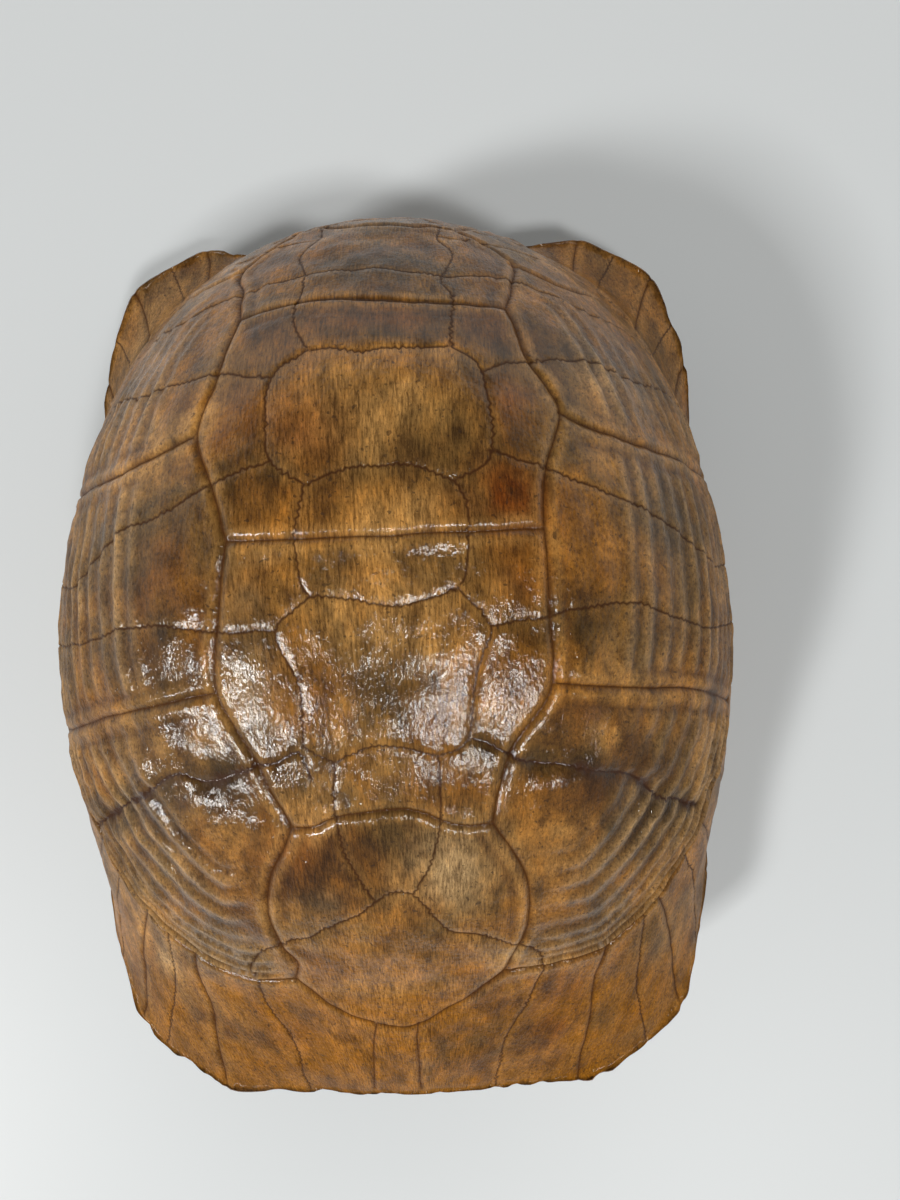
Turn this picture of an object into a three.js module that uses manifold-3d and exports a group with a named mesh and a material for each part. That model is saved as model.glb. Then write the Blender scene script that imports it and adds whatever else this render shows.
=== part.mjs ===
// The bony shell of a land tortoise: domed carapace, two bridges and flat plastron, grown together as one
// hollow piece, open in front for the head and forelegs and behind for the tail and hind legs.
// Millimetres. +Z is up, -Y is the head end and +X the animal's left. The plastron rests on z = 0, and the
// origin is the middle of the bounding box's base.
import * as THREE from "three";
import { mergeVertices } from "three/addons/utils/BufferGeometryUtils.js";
import Module from "manifold-3d";

// Driving dimensions.
const CARAPACE_WALL = 4.2;
const RIM_WALL = 3.8;
const LIP_BULGE = 1;
const PLASTRON_THICKNESS = 5;
const PLASTRON_EDGE = 1.6;
const FURROW_DEPTH = 0.9;
const FURROW_WIDTH = 2.4;
const GROWTH_RIDGE_DEPTH = 0.5;
const GROWTH_RIDGE_WIDTH = 2.2;
const RIM_TIP = 1.8;
// Moves the whole shell so that the middle of its bounding box stands at y = 0.
const CENTRING = -0.76;

// The carapace is a stack of rings from the crown down to the rim. Each ring is an oval of half-width
// `side` whose middle stands at `middle`; it reaches `front` ahead of that and `rear` behind it, and
// lies at its own height `z` in front, at the side and behind. `square` pushes out its front and rear
// corners.
const RINGS = [
  { middle: 17, side: 0, front: 0, rear: 0, square: [0, 0], z: [105, 105, 105] },
  { middle: 17, side: 25, front: 27, rear: 28, square: [0, 0], z: [101.5, 104.5, 108.5] },
  { middle: 13, side: 51, front: 52.5, rear: 58, square: [0, 0], z: [94, 98, 106] },
  { middle: 8.5, side: 73, front: 74, rear: 83, square: [0.01, 0.02], z: [79.5, 82, 86.5] },
  { middle: 4.5, side: 87, front: 88.5, rear: 108.5, square: [0.02, 0.02], z: [65.5, 57.5, 62.5] },
  { middle: 1.5, side: 91, front: 99.5, rear: 120, square: [0.06, 0.05], z: [57, 41, 41.5] },
  { middle: 0.5, side: 87.5, front: 109.5, rear: 119, square: [0.12, 0.15], z: [50.5, 33, 29] },
  { middle: 0.5, side: 84.5, front: 120.5, rear: 115.5, square: [0.2, 0.29], z: [42.5, 28.5, 22.5] },
];

// Where the seams between neighbouring marginal scutes reach the rim, in degrees round from the middle of
// the front. Each ends in a small tip except along the bridge.
const MARGINAL_SEAMS = [
  { atRim: 31, atPleurals: 36, tip: 1 },
  { atRim: 47, atPleurals: 47, tip: 1 },
  { atRim: 62, atPleurals: 61, tip: 0.5 },
  { atRim: 77, atPleurals: 76, tip: 0 },
  { atRim: 90, atPleurals: 90, tip: 0 },
  { atRim: 102, atPleurals: 102, tip: 0 },
  { atRim: 114, atPleurals: 113, tip: 0 },
  { atRim: 125, atPleurals: 124, tip: 0.5 },
  { atRim: 136, atPleurals: 135, tip: 1 },
  { atRim: 148, atPleurals: 147, tip: 1 },
  { atRim: 164, atPleurals: 163, tip: 0.7 },
];
const TIP_SPREAD = 4;
const TIPS_START = 0.86;

// The scute pattern of one side, drawn flat: [across, back] in millimetres measured along the surface from
// the crown. The other side mirrors it.
const VERTEBRAL_CORNERS = {
  front: [32, -98],
  first: [24.5, -49],
  second: [32.5, 13.5],
  third: [32, 67],
  fourth: [24.5, 111],
  last: [40, 125],
};
const PLEURAL_CORNERS = { one: [37, -16], two: [38.5, 38], three: [39.5, 91] };
const CERVICAL = { halfWidth: 7, back: -118, front: -146 };
const PLEURAL_MARGINAL_LINE = [
  VERTEBRAL_CORNERS.front, [45, -98], [59, -95], [67, -92], [78, -82], [88, -68], [98, -50], [104, -34],
  [107, -16], [107, 2], [105, 20], [102, 38], [99, 58], [95, 78], [90, 95], [80, 108], [64, 117], [52, 122],
  VERTEBRAL_CORNERS.last,
];
const HALF_PATTERN = [
  [[CERVICAL.halfWidth, CERVICAL.back], [CERVICAL.halfWidth + 2, CERVICAL.front]],
  [[CERVICAL.halfWidth, CERVICAL.back], [20, -108], VERTEBRAL_CORNERS.front],
  [VERTEBRAL_CORNERS.front, [35, -85], [35.5, -74], [33, -62], VERTEBRAL_CORNERS.first],
  [VERTEBRAL_CORNERS.first, [30, -29], PLEURAL_CORNERS.one, [34.5, 0], VERTEBRAL_CORNERS.second],
  [VERTEBRAL_CORNERS.second, [34.5, 25], PLEURAL_CORNERS.two, [34.5, 51], VERTEBRAL_CORNERS.third],
  [VERTEBRAL_CORNERS.third, [37, 80], PLEURAL_CORNERS.three],
  [PLEURAL_CORNERS.three, VERTEBRAL_CORNERS.fourth, VERTEBRAL_CORNERS.last],
  [PLEURAL_CORNERS.one, [52, -16.5], [70, -16.5], [90, -18], [107, -20]],
  [PLEURAL_CORNERS.two, [50, 36], [63, 36], [85, 39], [101, 43]],
  [PLEURAL_CORNERS.three, [55, 91], [72, 95], [89, 97]],
  PLEURAL_MARGINAL_LINE,
];
// How far back of the crown the marginals begin behind the last vertebral.
const REAR_LINE_REACH = 129;
const CROSS_LINES = [
  [[CERVICAL.halfWidth, CERVICAL.back], [1, CERVICAL.back]],
  [VERTEBRAL_CORNERS.first, [12, -47.5], [1, -46]],
  [VERTEBRAL_CORNERS.second, [1, 13]],
  [VERTEBRAL_CORNERS.third, [1, 67]],
  [VERTEBRAL_CORNERS.fourth, [1, 107]],
  [VERTEBRAL_CORNERS.last, [20, 131], [1, 132]],
];
// Growth ridges of the first pleural scute: furrows that curve round its areola from the lower edge to the
// front, at these distances outwards from it.
const AREOLA = { centre: [62, -40], ridges: [22, 29, 36], fromDegrees: -38, toDegrees: 82, stepDegrees: 12 };

// Plastron outline: half-width and rise of its lower face at stations from the throat to the tail.
const PLASTRON_STATIONS = [
  { y: -107, half: 9, rise: 7 },
  { y: -104, half: 17, rise: 6 },
  { y: -96, half: 25, rise: 4 },
  { y: -84, half: 35, rise: 1.8 },
  { y: -72, half: 42, rise: 0.5 },
  { y: -63, half: 46, rise: 0 },
  { y: -56, half: 51, rise: 0 },
  { y: -51, half: 57, rise: 0 },
  { y: -44, half: 61, rise: 0 },
  { y: 0, half: 61, rise: 0 },
  { y: 45, half: 60, rise: 0 },
  { y: 52, half: 56, rise: 0 },
  { y: 57, half: 50, rise: 0 },
  { y: 64, half: 46, rise: 0 },
  { y: 74, half: 43, rise: 0.3 },
  { y: 86, half: 36, rise: 1.2 },
  { y: 95, half: 25, rise: 2.2 },
  { y: 99, half: 18, rise: 3 },
];
const ANAL_NOTCH = { depth: 13, halfWidth: 13 };
// Each bridge runs from the rim down and in by `reach`, which shortens towards its ends. Partway down it is
// narrowest from front to rear. It widens to a buttress by `flareUp` at the rim and by `flareDown` at its
// foot, which sinks into the plastron. `tuck` sinks its top into the carapace's wall.
const BRIDGE = {
  front: -44,
  rear: 45,
  flareUp: 16,
  flareDown: 5,
  reach: 28,
  shortening: 0.12,
  drop: 13,
  wall: 5.5,
  tuck: 3,
  foot: 0.8,
  underRim: 0.2,
};
// Seams between the six pairs of plastron scutes: where each crosses it, and how far its outer end is swept
// back (or, below 0, ahead).
const PLASTRON_SEAMS = [
  { y: -90, sweep: -6 },
  { y: -66, sweep: -6 },
  { y: -46, sweep: -2 },
  { y: 24, sweep: 2 },
  { y: 62, sweep: 6 },
];
const PLASTRON_MIDLINE = [-104, -96, -82, -60, 0, 60, 80, 93];

const CORNER_SHARPNESS = 0.55;

// The mesh: degrees between meridians, and how far they keep from the seams, then rows of the two faces and
// where the crown's flat cap ends. Furrows are cut in steps of FURROW_STEP, from FURROW_TOP above the face.
const MERIDIAN_GAP = 8;
const SEAM_MARGIN = 2.6;
const OUTER_ROWS = 12;
const INNER_ROWS = 6;
const INNER_ROW_CROWDING = 0.8;
const CROWN_CAP = 0.13;
const FURROW_STEP = 11;
const FURROW_TOP = 1.2;
const PAST_RIM = 1.005;
// Triangles thinner than this, left where cuts cross, are merged into their neighbours.
const SLIVER = 0.06;

// Weight of each ring at t, 0 at the crown and 1 at the rim: a cubic B-spline that starts and ends on them.
function ringWeights(t) {
  const last = RINGS.length - 1;
  const order = [0, 0, ...RINGS.keys(), last, last];
  const spans = order.length - 3;
  const place = Math.min(Math.max(t * spans, 0), spans - 1e-9);
  const span = Math.floor(place);
  const f = place - span;
  const blend = [(1 - f) ** 3, 3 * f ** 3 - 6 * f ** 2 + 4, -3 * f ** 3 + 3 * f ** 2 + 3 * f + 1, f ** 3];
  const weights = new Array(RINGS.length).fill(0);
  blend.forEach((value, k) => {
    weights[order[span + k]] += value / 6;
  });
  return weights;
}

function blendedRing(t) {
  const weights = ringWeights(t);
  const mix = (read) => RINGS.reduce((sum, ring, i) => sum + weights[i] * read(ring), 0);
  return {
    middle: mix((r) => r.middle),
    side: mix((r) => r.side),
    front: mix((r) => r.front),
    rear: mix((r) => r.rear),
    square: [0, 1].map((k) => mix((r) => r.square[k])),
    z: [0, 1, 2].map((k) => mix((r) => r.z[k])),
  };
}

const radians = THREE.MathUtils.degToRad;

// Outward reach of the small tips where the marginal seams meet the rim.
function rimTip(angle, t) {
  const nearRim = THREE.MathUtils.smoothstep(t, TIPS_START, 1);
  const round = Math.abs(THREE.MathUtils.radToDeg(Math.atan2(Math.sin(angle), Math.cos(angle))));
  const tips = MARGINAL_SEAMS.map((seam) => seam.tip * Math.exp(-(((round - seam.atRim) / TIP_SPREAD) ** 2)));
  return RIM_TIP * nearRim * tips.reduce((a, b) => a + b);
}

// A point of the outer face: angle 0 is the front, a quarter turn is +X.
function carapacePoint(angle, t) {
  const ring = blendedRing(t);
  const c = Math.cos(angle);
  const s = Math.sin(angle);
  const corner = Math.sin(2 * angle) ** 2;
  const [squareFront, squareRear] = ring.square;
  const pushed = (squareFront + squareRear) / 2 + ((squareFront - squareRear) / 2) * c;
  const square = 1 + pushed * THREE.MathUtils.lerp(corner, corner ** 2, CORNER_SHARPNESS);
  const [zFront, zSide, zRear] = ring.z;
  const along = ((ring.front + ring.rear) / 2) * c * square + ((ring.front - ring.rear) / 2) * c * c;
  const tip = rimTip(angle, t);
  return new THREE.Vector3(
    ring.side * s * square + tip * s,
    ring.middle - along - tip * c,
    zSide + ((zFront + zRear) / 2 - zSide) * c * c + ((zFront - zRear) / 2) * c,
  );
}

function carapaceNormal(angle, t) {
  const step = 1e-3;
  const low = Math.max(t, 0.02);
  const across = carapacePoint(angle + step, low).sub(carapacePoint(angle - step, low));
  const down = carapacePoint(angle, low + step).sub(carapacePoint(angle, low - step));
  return down.cross(across).normalize();
}

// From the flat pattern to the surface: how far along which meridian.
const MERIDIAN_STEPS = 60;
function onCarapace([across, back]) {
  const angle = Math.atan2(across, -back);
  const distance = Math.hypot(across, back);
  let travelled = 0;
  let from = carapacePoint(angle, 0);
  for (let i = 1; i <= MERIDIAN_STEPS; i += 1) {
    const to = carapacePoint(angle, i / MERIDIAN_STEPS);
    const piece = to.distanceTo(from);
    if (travelled + piece >= distance || i === MERIDIAN_STEPS) {
      const t = (i - 1 + Math.min((distance - travelled) / piece, 1)) / MERIDIAN_STEPS;
      return { angle, t, point: carapacePoint(angle, t), normal: carapaceNormal(angle, t) };
    }
    travelled += piece;
    from = to;
  }
}

// --- solids -------------------------------------------------------------------------------------------

const wasm = await Module();
wasm.setup();

// A closed mesh from points and triangles, as a manifold-3d solid.
function solid(points, triangles) {
  const geometry = new THREE.BufferGeometry().setFromPoints(points);
  geometry.setIndex(triangles);
  const merged = mergeVertices(geometry, 1e-4);
  return new wasm.Manifold(
    new wasm.Mesh({
      numProp: 3,
      vertProperties: merged.attributes.position.array,
      triVerts: new Uint32Array(merged.index.array),
    }),
  );
}

// A solid from closed sections of equal point count. Each section runs out along one side of a band and
// back along the other, so that facing points close its two ends.
function loft(sections) {
  const count = sections[0].length;
  const triangles = [];
  for (let j = 0; j + 1 < sections.length; j += 1) {
    for (let i = 0; i < count; i += 1) {
      const a = j * count + i;
      const b = j * count + ((i + 1) % count);
      triangles.push(a, b, a + count, b, b + count, a + count);
    }
  }
  const last = (sections.length - 1) * count;
  for (let i = 0; 2 * i < count - 1; i += 1) {
    const facing = count - 1 - i;
    const inwards = [[i, i + 1, facing - 1], [i, facing - 1, facing]].filter(([a, b, c]) => a < b && b < c);
    inwards.forEach(([a, b, c]) => triangles.push(a, c, b, last + a, last + b, last + c));
  }
  return facingOut(sections.flat(), triangles);
}

function facingOut(points, triangles) {
  const made = solid(points, triangles);
  return made.volume() < 0 ? solid(points, flipped(triangles)) : made;
}

function flipped(triangles) {
  const out = [];
  for (let i = 0; i < triangles.length; i += 3) out.push(triangles[i], triangles[i + 2], triangles[i + 1]);
  return out;
}

// Meridians of the carapace's mesh: one on each side of every marginal seam, so that no furrow runs along an
// edge of the mesh, and one or two between where the seams stand far apart.
function meridianAngles() {
  const seams = [0, ...MARGINAL_SEAMS.map((seam) => seam.atRim), 180];
  const half = [];
  for (let i = 0; i + 1 < seams.length; i += 1) {
    const from = i === 0 ? 0 : seams[i] + SEAM_MARGIN;
    const to = seams[i + 1] === 180 ? 180 : seams[i + 1] - SEAM_MARGIN;
    const pieces = Math.max(1, Math.round((to - from) / MERIDIAN_GAP));
    for (let k = 0; k <= pieces; k += 1) half.push(from + ((to - from) * k) / pieces);
  }
  const other = half.slice(1, -1).map((degrees) => 360 - degrees).reverse();
  return [...half, ...other].map(radians);
}

// The carapace: outer face from crown to rim, a rounded lip, and the inner face back up to the crown.
function carapace() {
  const angles = meridianAngles();
  const around = angles.length;
  const rows = [];
  for (let j = 0; j <= OUTER_ROWS; j += 1) {
    const t = THREE.MathUtils.lerp(CROWN_CAP, 1, j / OUTER_ROWS);
    rows.push(angles.map((angle) => carapacePoint(angle, t)));
  }
  const inner = (angle, t, wall) => carapacePoint(angle, t).addScaledVector(carapaceNormal(angle, t), -wall);
  rows.push(
    angles.map((angle) => {
      const lip = carapacePoint(angle, 1).add(inner(angle, 1, RIM_WALL)).multiplyScalar(0.5);
      const outwards = carapacePoint(angle, 1).sub(carapacePoint(angle, 0.97)).normalize();
      return lip.addScaledVector(outwards, LIP_BULGE);
    }),
  );
  for (let j = INNER_ROWS; j >= 1; j -= 1) {
    const t = (j / INNER_ROWS) ** INNER_ROW_CROWDING;
    const wall = j === INNER_ROWS ? RIM_WALL : CARAPACE_WALL;
    rows.push(angles.map((angle) => inner(angle, t, wall)));
  }
  const crown = carapacePoint(0, 0);
  const ceiling = crown.clone().setZ(crown.z - CARAPACE_WALL);
  const points = [crown, ...rows.flat(), ceiling];
  const triangles = [];
  const at = (row, i) => 1 + row * around + (i % around);
  for (let i = 0; i < around; i += 1) {
    triangles.push(0, at(0, i), at(0, i + 1));
    triangles.push(points.length - 1, at(rows.length - 1, i + 1), at(rows.length - 1, i));
    for (let row = 0; row + 1 < rows.length; row += 1) {
      triangles.push(at(row, i), at(row + 1, i), at(row, i + 1));
      triangles.push(at(row, i + 1), at(row + 1, i), at(row + 1, i + 1));
    }
  }
  return facingOut(points, triangles);
}

// The plastron: one plate, lofted from throat to tail.
function plastron() {
  const spread = [-1, -0.9, -0.3, 0.3, 0.9, 1];
  const sections = PLASTRON_STATIONS.map(({ y, half, rise }) => {
    const eased = (s) => (Math.abs(s) === 1 ? PLASTRON_EDGE : 0);
    const lower = spread.map((s) => new THREE.Vector3(half * s, y, rise + eased(s)));
    const upper = spread.map((s) => new THREE.Vector3(half * s, y, rise + PLASTRON_THICKNESS - eased(s)));
    return [...lower, ...upper.reverse()];
  });
  return loft(sections);
}

// The angle at which the rim stands at this distance back, on the +X side.
function rimAngleAt(y) {
  let low = 0;
  let high = Math.PI;
  for (let i = 0; i < 40; i += 1) {
    const middle = (low + high) / 2;
    if (carapacePoint(middle, 1).y < y) low = middle;
    else high = middle;
  }
  return (low + high) / 2;
}

// A bridge: curls from the rim down and in to the plastron.
function bridge(side) {
  const steps = 14;
  const down = 7;
  const section = (i) => {
    const outer = [];
    const inner = [];
    for (let k = 0; k <= down; k += 1) {
      const f = k / down;
      const flare = f < 0.5 ? BRIDGE.flareUp : BRIDGE.flareDown;
      const widening = flare * (2 * f - 1) ** 2;
      const y = THREE.MathUtils.lerp(BRIDGE.front - widening, BRIDGE.rear + widening, i / steps);
      const angle = rimAngleAt(y);
      const rim = carapacePoint(angle, 0.985).addScaledVector(carapaceNormal(angle, 1), -BRIDGE.underRim);
      const reach = BRIDGE.reach * (1 - BRIDGE.shortening * (y / BRIDGE.front) ** 2);
      const curve = new THREE.CubicBezierCurve(
        new THREE.Vector2(rim.x, rim.z),
        new THREE.Vector2(rim.x - 2, rim.z - BRIDGE.drop),
        new THREE.Vector2(rim.x - reach * 0.4, BRIDGE.foot),
        new THREE.Vector2(rim.x - reach, BRIDGE.foot),
      );
      const at = curve.getPoint(f);
      const tangent = curve.getTangent(f);
      outer.push(new THREE.Vector3(side * at.x, y, at.y));
      const lift = k === 0 ? BRIDGE.tuck : 0;
      const x = at.x + tangent.y * BRIDGE.wall;
      inner.push(new THREE.Vector3(side * x, y, at.y - tangent.x * BRIDGE.wall + lift));
    }
    return [...outer, ...inner.reverse()];
  };
  return loft(Array.from({ length: steps + 1 }, (_, i) => section(i)));
}

// A V-shaped cutter along a line of places on a surface.
function furrow(places, depth, width) {
  const sections = places.map(({ point, normal }, i) => {
    const before = places[Math.max(i - 1, 0)].point;
    const after = places[Math.min(i + 1, places.length - 1)].point;
    const along = after.clone().sub(before).normalize();
    const across = along.clone().cross(normal).normalize();
    const half = (width / 2) * ((depth + FURROW_TOP) / depth);
    return [
      point.clone().addScaledVector(normal, FURROW_TOP).addScaledVector(across, half),
      point.clone().addScaledVector(normal, FURROW_TOP).addScaledVector(across, -half),
      point.clone().addScaledVector(normal, -depth),
    ];
  });
  return loft(sections);
}

// A line of the flat pattern, taken in even steps.
function stepped(line, step) {
  const out = [line[0]];
  for (let i = 0; i + 1 < line.length; i += 1) {
    const [a, b] = [line[i], line[i + 1]];
    const count = Math.max(1, Math.round(Math.hypot(b[0] - a[0], b[1] - a[1]) / step));
    for (let k = 1; k <= count; k += 1) {
      out.push([a[0] + ((b[0] - a[0]) * k) / count, a[1] + ((b[1] - a[1]) * k) / count]);
    }
  }
  return out;
}

const mirrored = (line) => line.map(([across, back]) => [-across, back]);

// The point of the flat pattern where the line from the crown at this angle meets the pleural-marginal line.
function onMarginalLine(degrees) {
  const direction = [Math.sin(radians(degrees)), -Math.cos(radians(degrees))];
  const line = PLEURAL_MARGINAL_LINE;
  for (let i = 0; i + 1 < line.length; i += 1) {
    const turn = (p) => direction[0] * p[1] - direction[1] * p[0];
    const [a, b] = [turn(line[i]), turn(line[i + 1])];
    if (a * b <= 0 && a !== b) {
      const f = a / (a - b);
      return [0, 1].map((k) => line[i][k] + (line[i + 1][k] - line[i][k]) * f);
    }
  }
  return direction.map((part) => part * REAR_LINE_REACH);
}

// A seam from the pleural-marginal line out to the rim, and just past it.
function marginalSeam({ atRim, atPleurals }) {
  const from = onCarapace(onMarginalLine(atPleurals));
  const steps = 4;
  return Array.from({ length: steps + 1 }, (_, k) => {
    const f = k / steps;
    const angle = THREE.MathUtils.lerp(from.angle, radians(atRim), f);
    const t = THREE.MathUtils.lerp(from.t, PAST_RIM, f);
    return { point: carapacePoint(angle, t), normal: carapaceNormal(angle, Math.min(t, 1)) };
  });
}

function carapaceFurrows() {
  const lines = [];
  HALF_PATTERN.forEach((line) => lines.push(line, mirrored(line)));
  CROSS_LINES.forEach((line) => lines.push([...line, ...mirrored(line).reverse()]));
  const cut = (line) => furrow(stepped(line, FURROW_STEP).map(onCarapace), FURROW_DEPTH, FURROW_WIDTH);
  const cutters = lines.map(cut);
  const flip = ({ point, normal }) => ({
    point: new THREE.Vector3(-point.x, point.y, point.z),
    normal: new THREE.Vector3(-normal.x, normal.y, normal.z),
  });
  MARGINAL_SEAMS.forEach((seam) => {
    const places = marginalSeam(seam);
    cutters.push(furrow(places, FURROW_DEPTH, FURROW_WIDTH));
    cutters.push(furrow(places.map(flip), FURROW_DEPTH, FURROW_WIDTH));
  });
  AREOLA.ridges.forEach((radius) => {
    const arc = [];
    for (let degrees = AREOLA.fromDegrees; degrees <= AREOLA.toDegrees; degrees += AREOLA.stepDegrees) {
      const turn = radians(degrees);
      arc.push([AREOLA.centre[0] + Math.cos(turn) * radius, AREOLA.centre[1] - Math.sin(turn) * radius]);
    }
    [arc, mirrored(arc)].forEach((line) => {
      cutters.push(furrow(line.map(onCarapace), GROWTH_RIDGE_DEPTH, GROWTH_RIDGE_WIDTH));
    });
  });
  return cutters;
}

// Furrows of the plastron: the midline and the cross seams between its six pairs of scutes.
function plastronFurrows() {
  const down = new THREE.Vector3(0, 0, -1);
  const stationAt = (y) => {
    const after = PLASTRON_STATIONS.findIndex((s) => s.y >= y);
    const [a, b] = [PLASTRON_STATIONS[after - 1], PLASTRON_STATIONS[after]];
    const f = (y - a.y) / (b.y - a.y);
    return { half: THREE.MathUtils.lerp(a.half, b.half, f), rise: THREE.MathUtils.lerp(a.rise, b.rise, f) };
  };
  const place = (x, y) => ({ point: new THREE.Vector3(x, y, stationAt(y).rise), normal: down });
  const cutters = [furrow(PLASTRON_MIDLINE.map((y) => place(0, y)), FURROW_DEPTH, FURROW_WIDTH)];
  PLASTRON_SEAMS.forEach(({ y, sweep }) => {
    const { half } = stationAt(y);
    [-1, 1].forEach((side) => {
      const places = [0, 0.5, 0.97].map((f) => place(side * half * f, y + sweep * (f - 0.5)));
      cutters.push(furrow(places, FURROW_DEPTH, FURROW_WIDTH));
    });
  });
  return cutters;
}

// The notch between the two anal scutes at the tail.
function analNotch() {
  const tail = PLASTRON_STATIONS.at(-1).y;
  const outline = [
    new THREE.Vector2(0, tail - ANAL_NOTCH.depth),
    new THREE.Vector2(ANAL_NOTCH.halfWidth, tail + 1),
    new THREE.Vector2(-ANAL_NOTCH.halfWidth, tail + 1),
  ];
  return loft([-2, 12].map((z) => outline.map((p) => new THREE.Vector3(p.x, p.y, z))));
}

function shell() {
  const body = wasm.Manifold.union([carapace(), plastron(), bridge(1), bridge(-1)]);
  const cutters = [...carapaceFurrows(), ...plastronFurrows(), analNotch()];
  const cut = body.subtract(wasm.Manifold.union(cutters));
  return largest(cut.simplify(SLIVER).decompose());
}

// The cuts leave a few loose crumbs, thinner than a hair, at the corners of the scutes: they are dropped.
function largest(solids) {
  return solids.reduce((best, next) => (next.volume() > best.volume() ? next : best));
}

function geometryOf(made) {
  const mesh = made.getMesh();
  const geometry = new THREE.BufferGeometry();
  geometry.setAttribute("position", new THREE.Float32BufferAttribute(mesh.vertProperties, 3));
  geometry.setIndex(new THREE.Uint32BufferAttribute(mesh.triVerts, 1));
  geometry.computeVertexNormals();
  return geometry;
}

const varnishedBone = new THREE.MeshStandardMaterial({ color: 0x9a6a38, roughness: 0.35, metalness: 0 });

const tortoise = new THREE.Group();
const tortoiseShell = new THREE.Mesh(geometryOf(shell()), varnishedBone);
tortoiseShell.name = "tortoise_shell";
tortoiseShell.position.y = CENTRING;
tortoise.add(tortoiseShell);

export default tortoise;
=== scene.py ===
"""A varnished tortoise shell: carapace, bridges and plastron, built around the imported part.

Shapes are worked out in millimetres and written into the meshes in metres. The carapace is drawn flat
first: a pattern point (across, back) lies that far from the crown, measured along the surface, with +across
to the right and +back to the tail.
"""

import math

import bpy
import numpy as np
from mathutils import Matrix, Vector, kdtree
from mathutils.geometry import delaunay_2d_cdt


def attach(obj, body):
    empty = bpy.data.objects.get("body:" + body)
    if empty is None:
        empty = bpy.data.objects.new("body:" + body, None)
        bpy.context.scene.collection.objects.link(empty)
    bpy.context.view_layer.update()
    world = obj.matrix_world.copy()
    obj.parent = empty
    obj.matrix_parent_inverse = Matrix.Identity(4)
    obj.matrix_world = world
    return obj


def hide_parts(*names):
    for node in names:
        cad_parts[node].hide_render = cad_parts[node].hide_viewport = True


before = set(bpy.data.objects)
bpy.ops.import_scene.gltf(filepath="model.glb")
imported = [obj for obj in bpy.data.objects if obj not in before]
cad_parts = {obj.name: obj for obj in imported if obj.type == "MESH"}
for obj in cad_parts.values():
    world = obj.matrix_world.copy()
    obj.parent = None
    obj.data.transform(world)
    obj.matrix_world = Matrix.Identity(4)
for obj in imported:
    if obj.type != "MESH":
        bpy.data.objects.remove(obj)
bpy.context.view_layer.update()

MM = 0.001
random = np.random.default_rng(7)

# --- the dome -------------------------------------------------------------------------------------
# Rings from the crown to the rim: middle, half-width, reach in front and behind, push of the front and rear
# corners, and height in front, at the side and behind.
RINGS = np.array([
    (17, 0, 0, 0, 0, 0, 105, 105, 105),
    (17, 25, 27, 28, 0, 0, 101.5, 104.5, 108.5),
    (13, 51, 52.5, 58, 0, 0, 94, 98, 106),
    (8.5, 73, 74, 83, 0.01, 0.02, 79.5, 82, 86.5),
    (4.5, 87, 88.5, 108.5, 0.02, 0.02, 65.5, 57.5, 62.5),
    (1.5, 91, 99.5, 120, 0.06, 0.05, 57, 41, 41.5),
    (0.5, 87.5, 109.5, 119, 0.12, 0.15, 50.5, 33, 29),
    (0.5, 84.5, 120.5, 115.5, 0.20, 0.29, 42.5, 28.5, 22.5),
])
CENTRING = -0.76
CORNER_SHARPNESS = 0.55
CARAPACE_WALL = 4.2
RIM_WALL = 3.8
LIP_BULGE = 1.0

# Seams between neighbouring marginal scutes: degrees round from the front where each leaves the pleurals and
# where it reaches the rim, and how much of a tip the rim has there.
MARGINAL_SEAMS = [
    (36, 31, 1), (47, 47, 1), (61, 62, 0.5), (76, 77, 0), (90, 90, 0), (102, 102, 0),
    (113, 114, 0), (124, 125, 0.5), (135, 136, 1), (147, 148, 1), (163, 164, 0.7),
]
RIM_TIP = 1.8
TIP_SPREAD = 4
TIPS_START = 0.86


def smoothstep(x, low, high):
    f = np.clip((x - low) / (high - low), 0, 1)
    return f * f * (3 - 2 * f)


def unit(vectors):
    return vectors / np.linalg.norm(vectors, axis=1)[:, None]


def blended_rings(t):
    """The nine ring values at t, 0 at the crown and 1 at the rim: a cubic B-spline that ends on both."""
    last = len(RINGS) - 1
    order = np.array([0, 0, *range(last + 1), last, last])
    spans = len(order) - 3
    place = np.clip(t * spans, 0, spans - 1e-9)
    span = place.astype(int)
    f = (place - span)[..., None]
    weights = [
        (1 - f) ** 3,
        3 * f**3 - 6 * f**2 + 4,
        -3 * f**3 + 3 * f**2 + 3 * f + 1,
        f**3,
    ]
    return sum(weights[k] * RINGS[order[span + k]] for k in range(4)) / 6


def outer_point(angle, t):
    """A point of the carapace's outer face. Angle 0 is the front, a quarter turn is +X."""
    angle, t = np.broadcast_arrays(angle, t)
    middle, side, front, rear, push_front, push_rear, z_front, z_side, z_rear = np.moveaxis(
        blended_rings(t), -1, 0
    )
    c = np.cos(angle)
    s = np.sin(angle)
    corner = np.sin(2 * angle) ** 2
    pushed = (push_front + push_rear) / 2 + (push_front - push_rear) / 2 * c
    square = 1 + pushed * (corner + (corner**2 - corner) * CORNER_SHARPNESS)
    turn = np.abs(np.degrees(np.arctan2(s, c)))
    tips = sum(size * np.exp(-(((turn - at_rim) / TIP_SPREAD) ** 2)) for _, at_rim, size in MARGINAL_SEAMS)
    tip = RIM_TIP * tips * smoothstep(t, TIPS_START, 1)
    along = (front + rear) / 2 * c * square + (front - rear) / 2 * c * c
    return np.stack(
        [
            side * s * square + tip * s,
            middle + CENTRING - along - tip * c,
            z_side + ((z_front + z_rear) / 2 - z_side) * c * c + (z_front - z_rear) / 2 * c,
        ],
        axis=-1,
    )


TABLE_ANGLES = np.linspace(-math.pi, math.pi, 721)
TABLE_STEPS = np.linspace(0, 1, 401)


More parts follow.
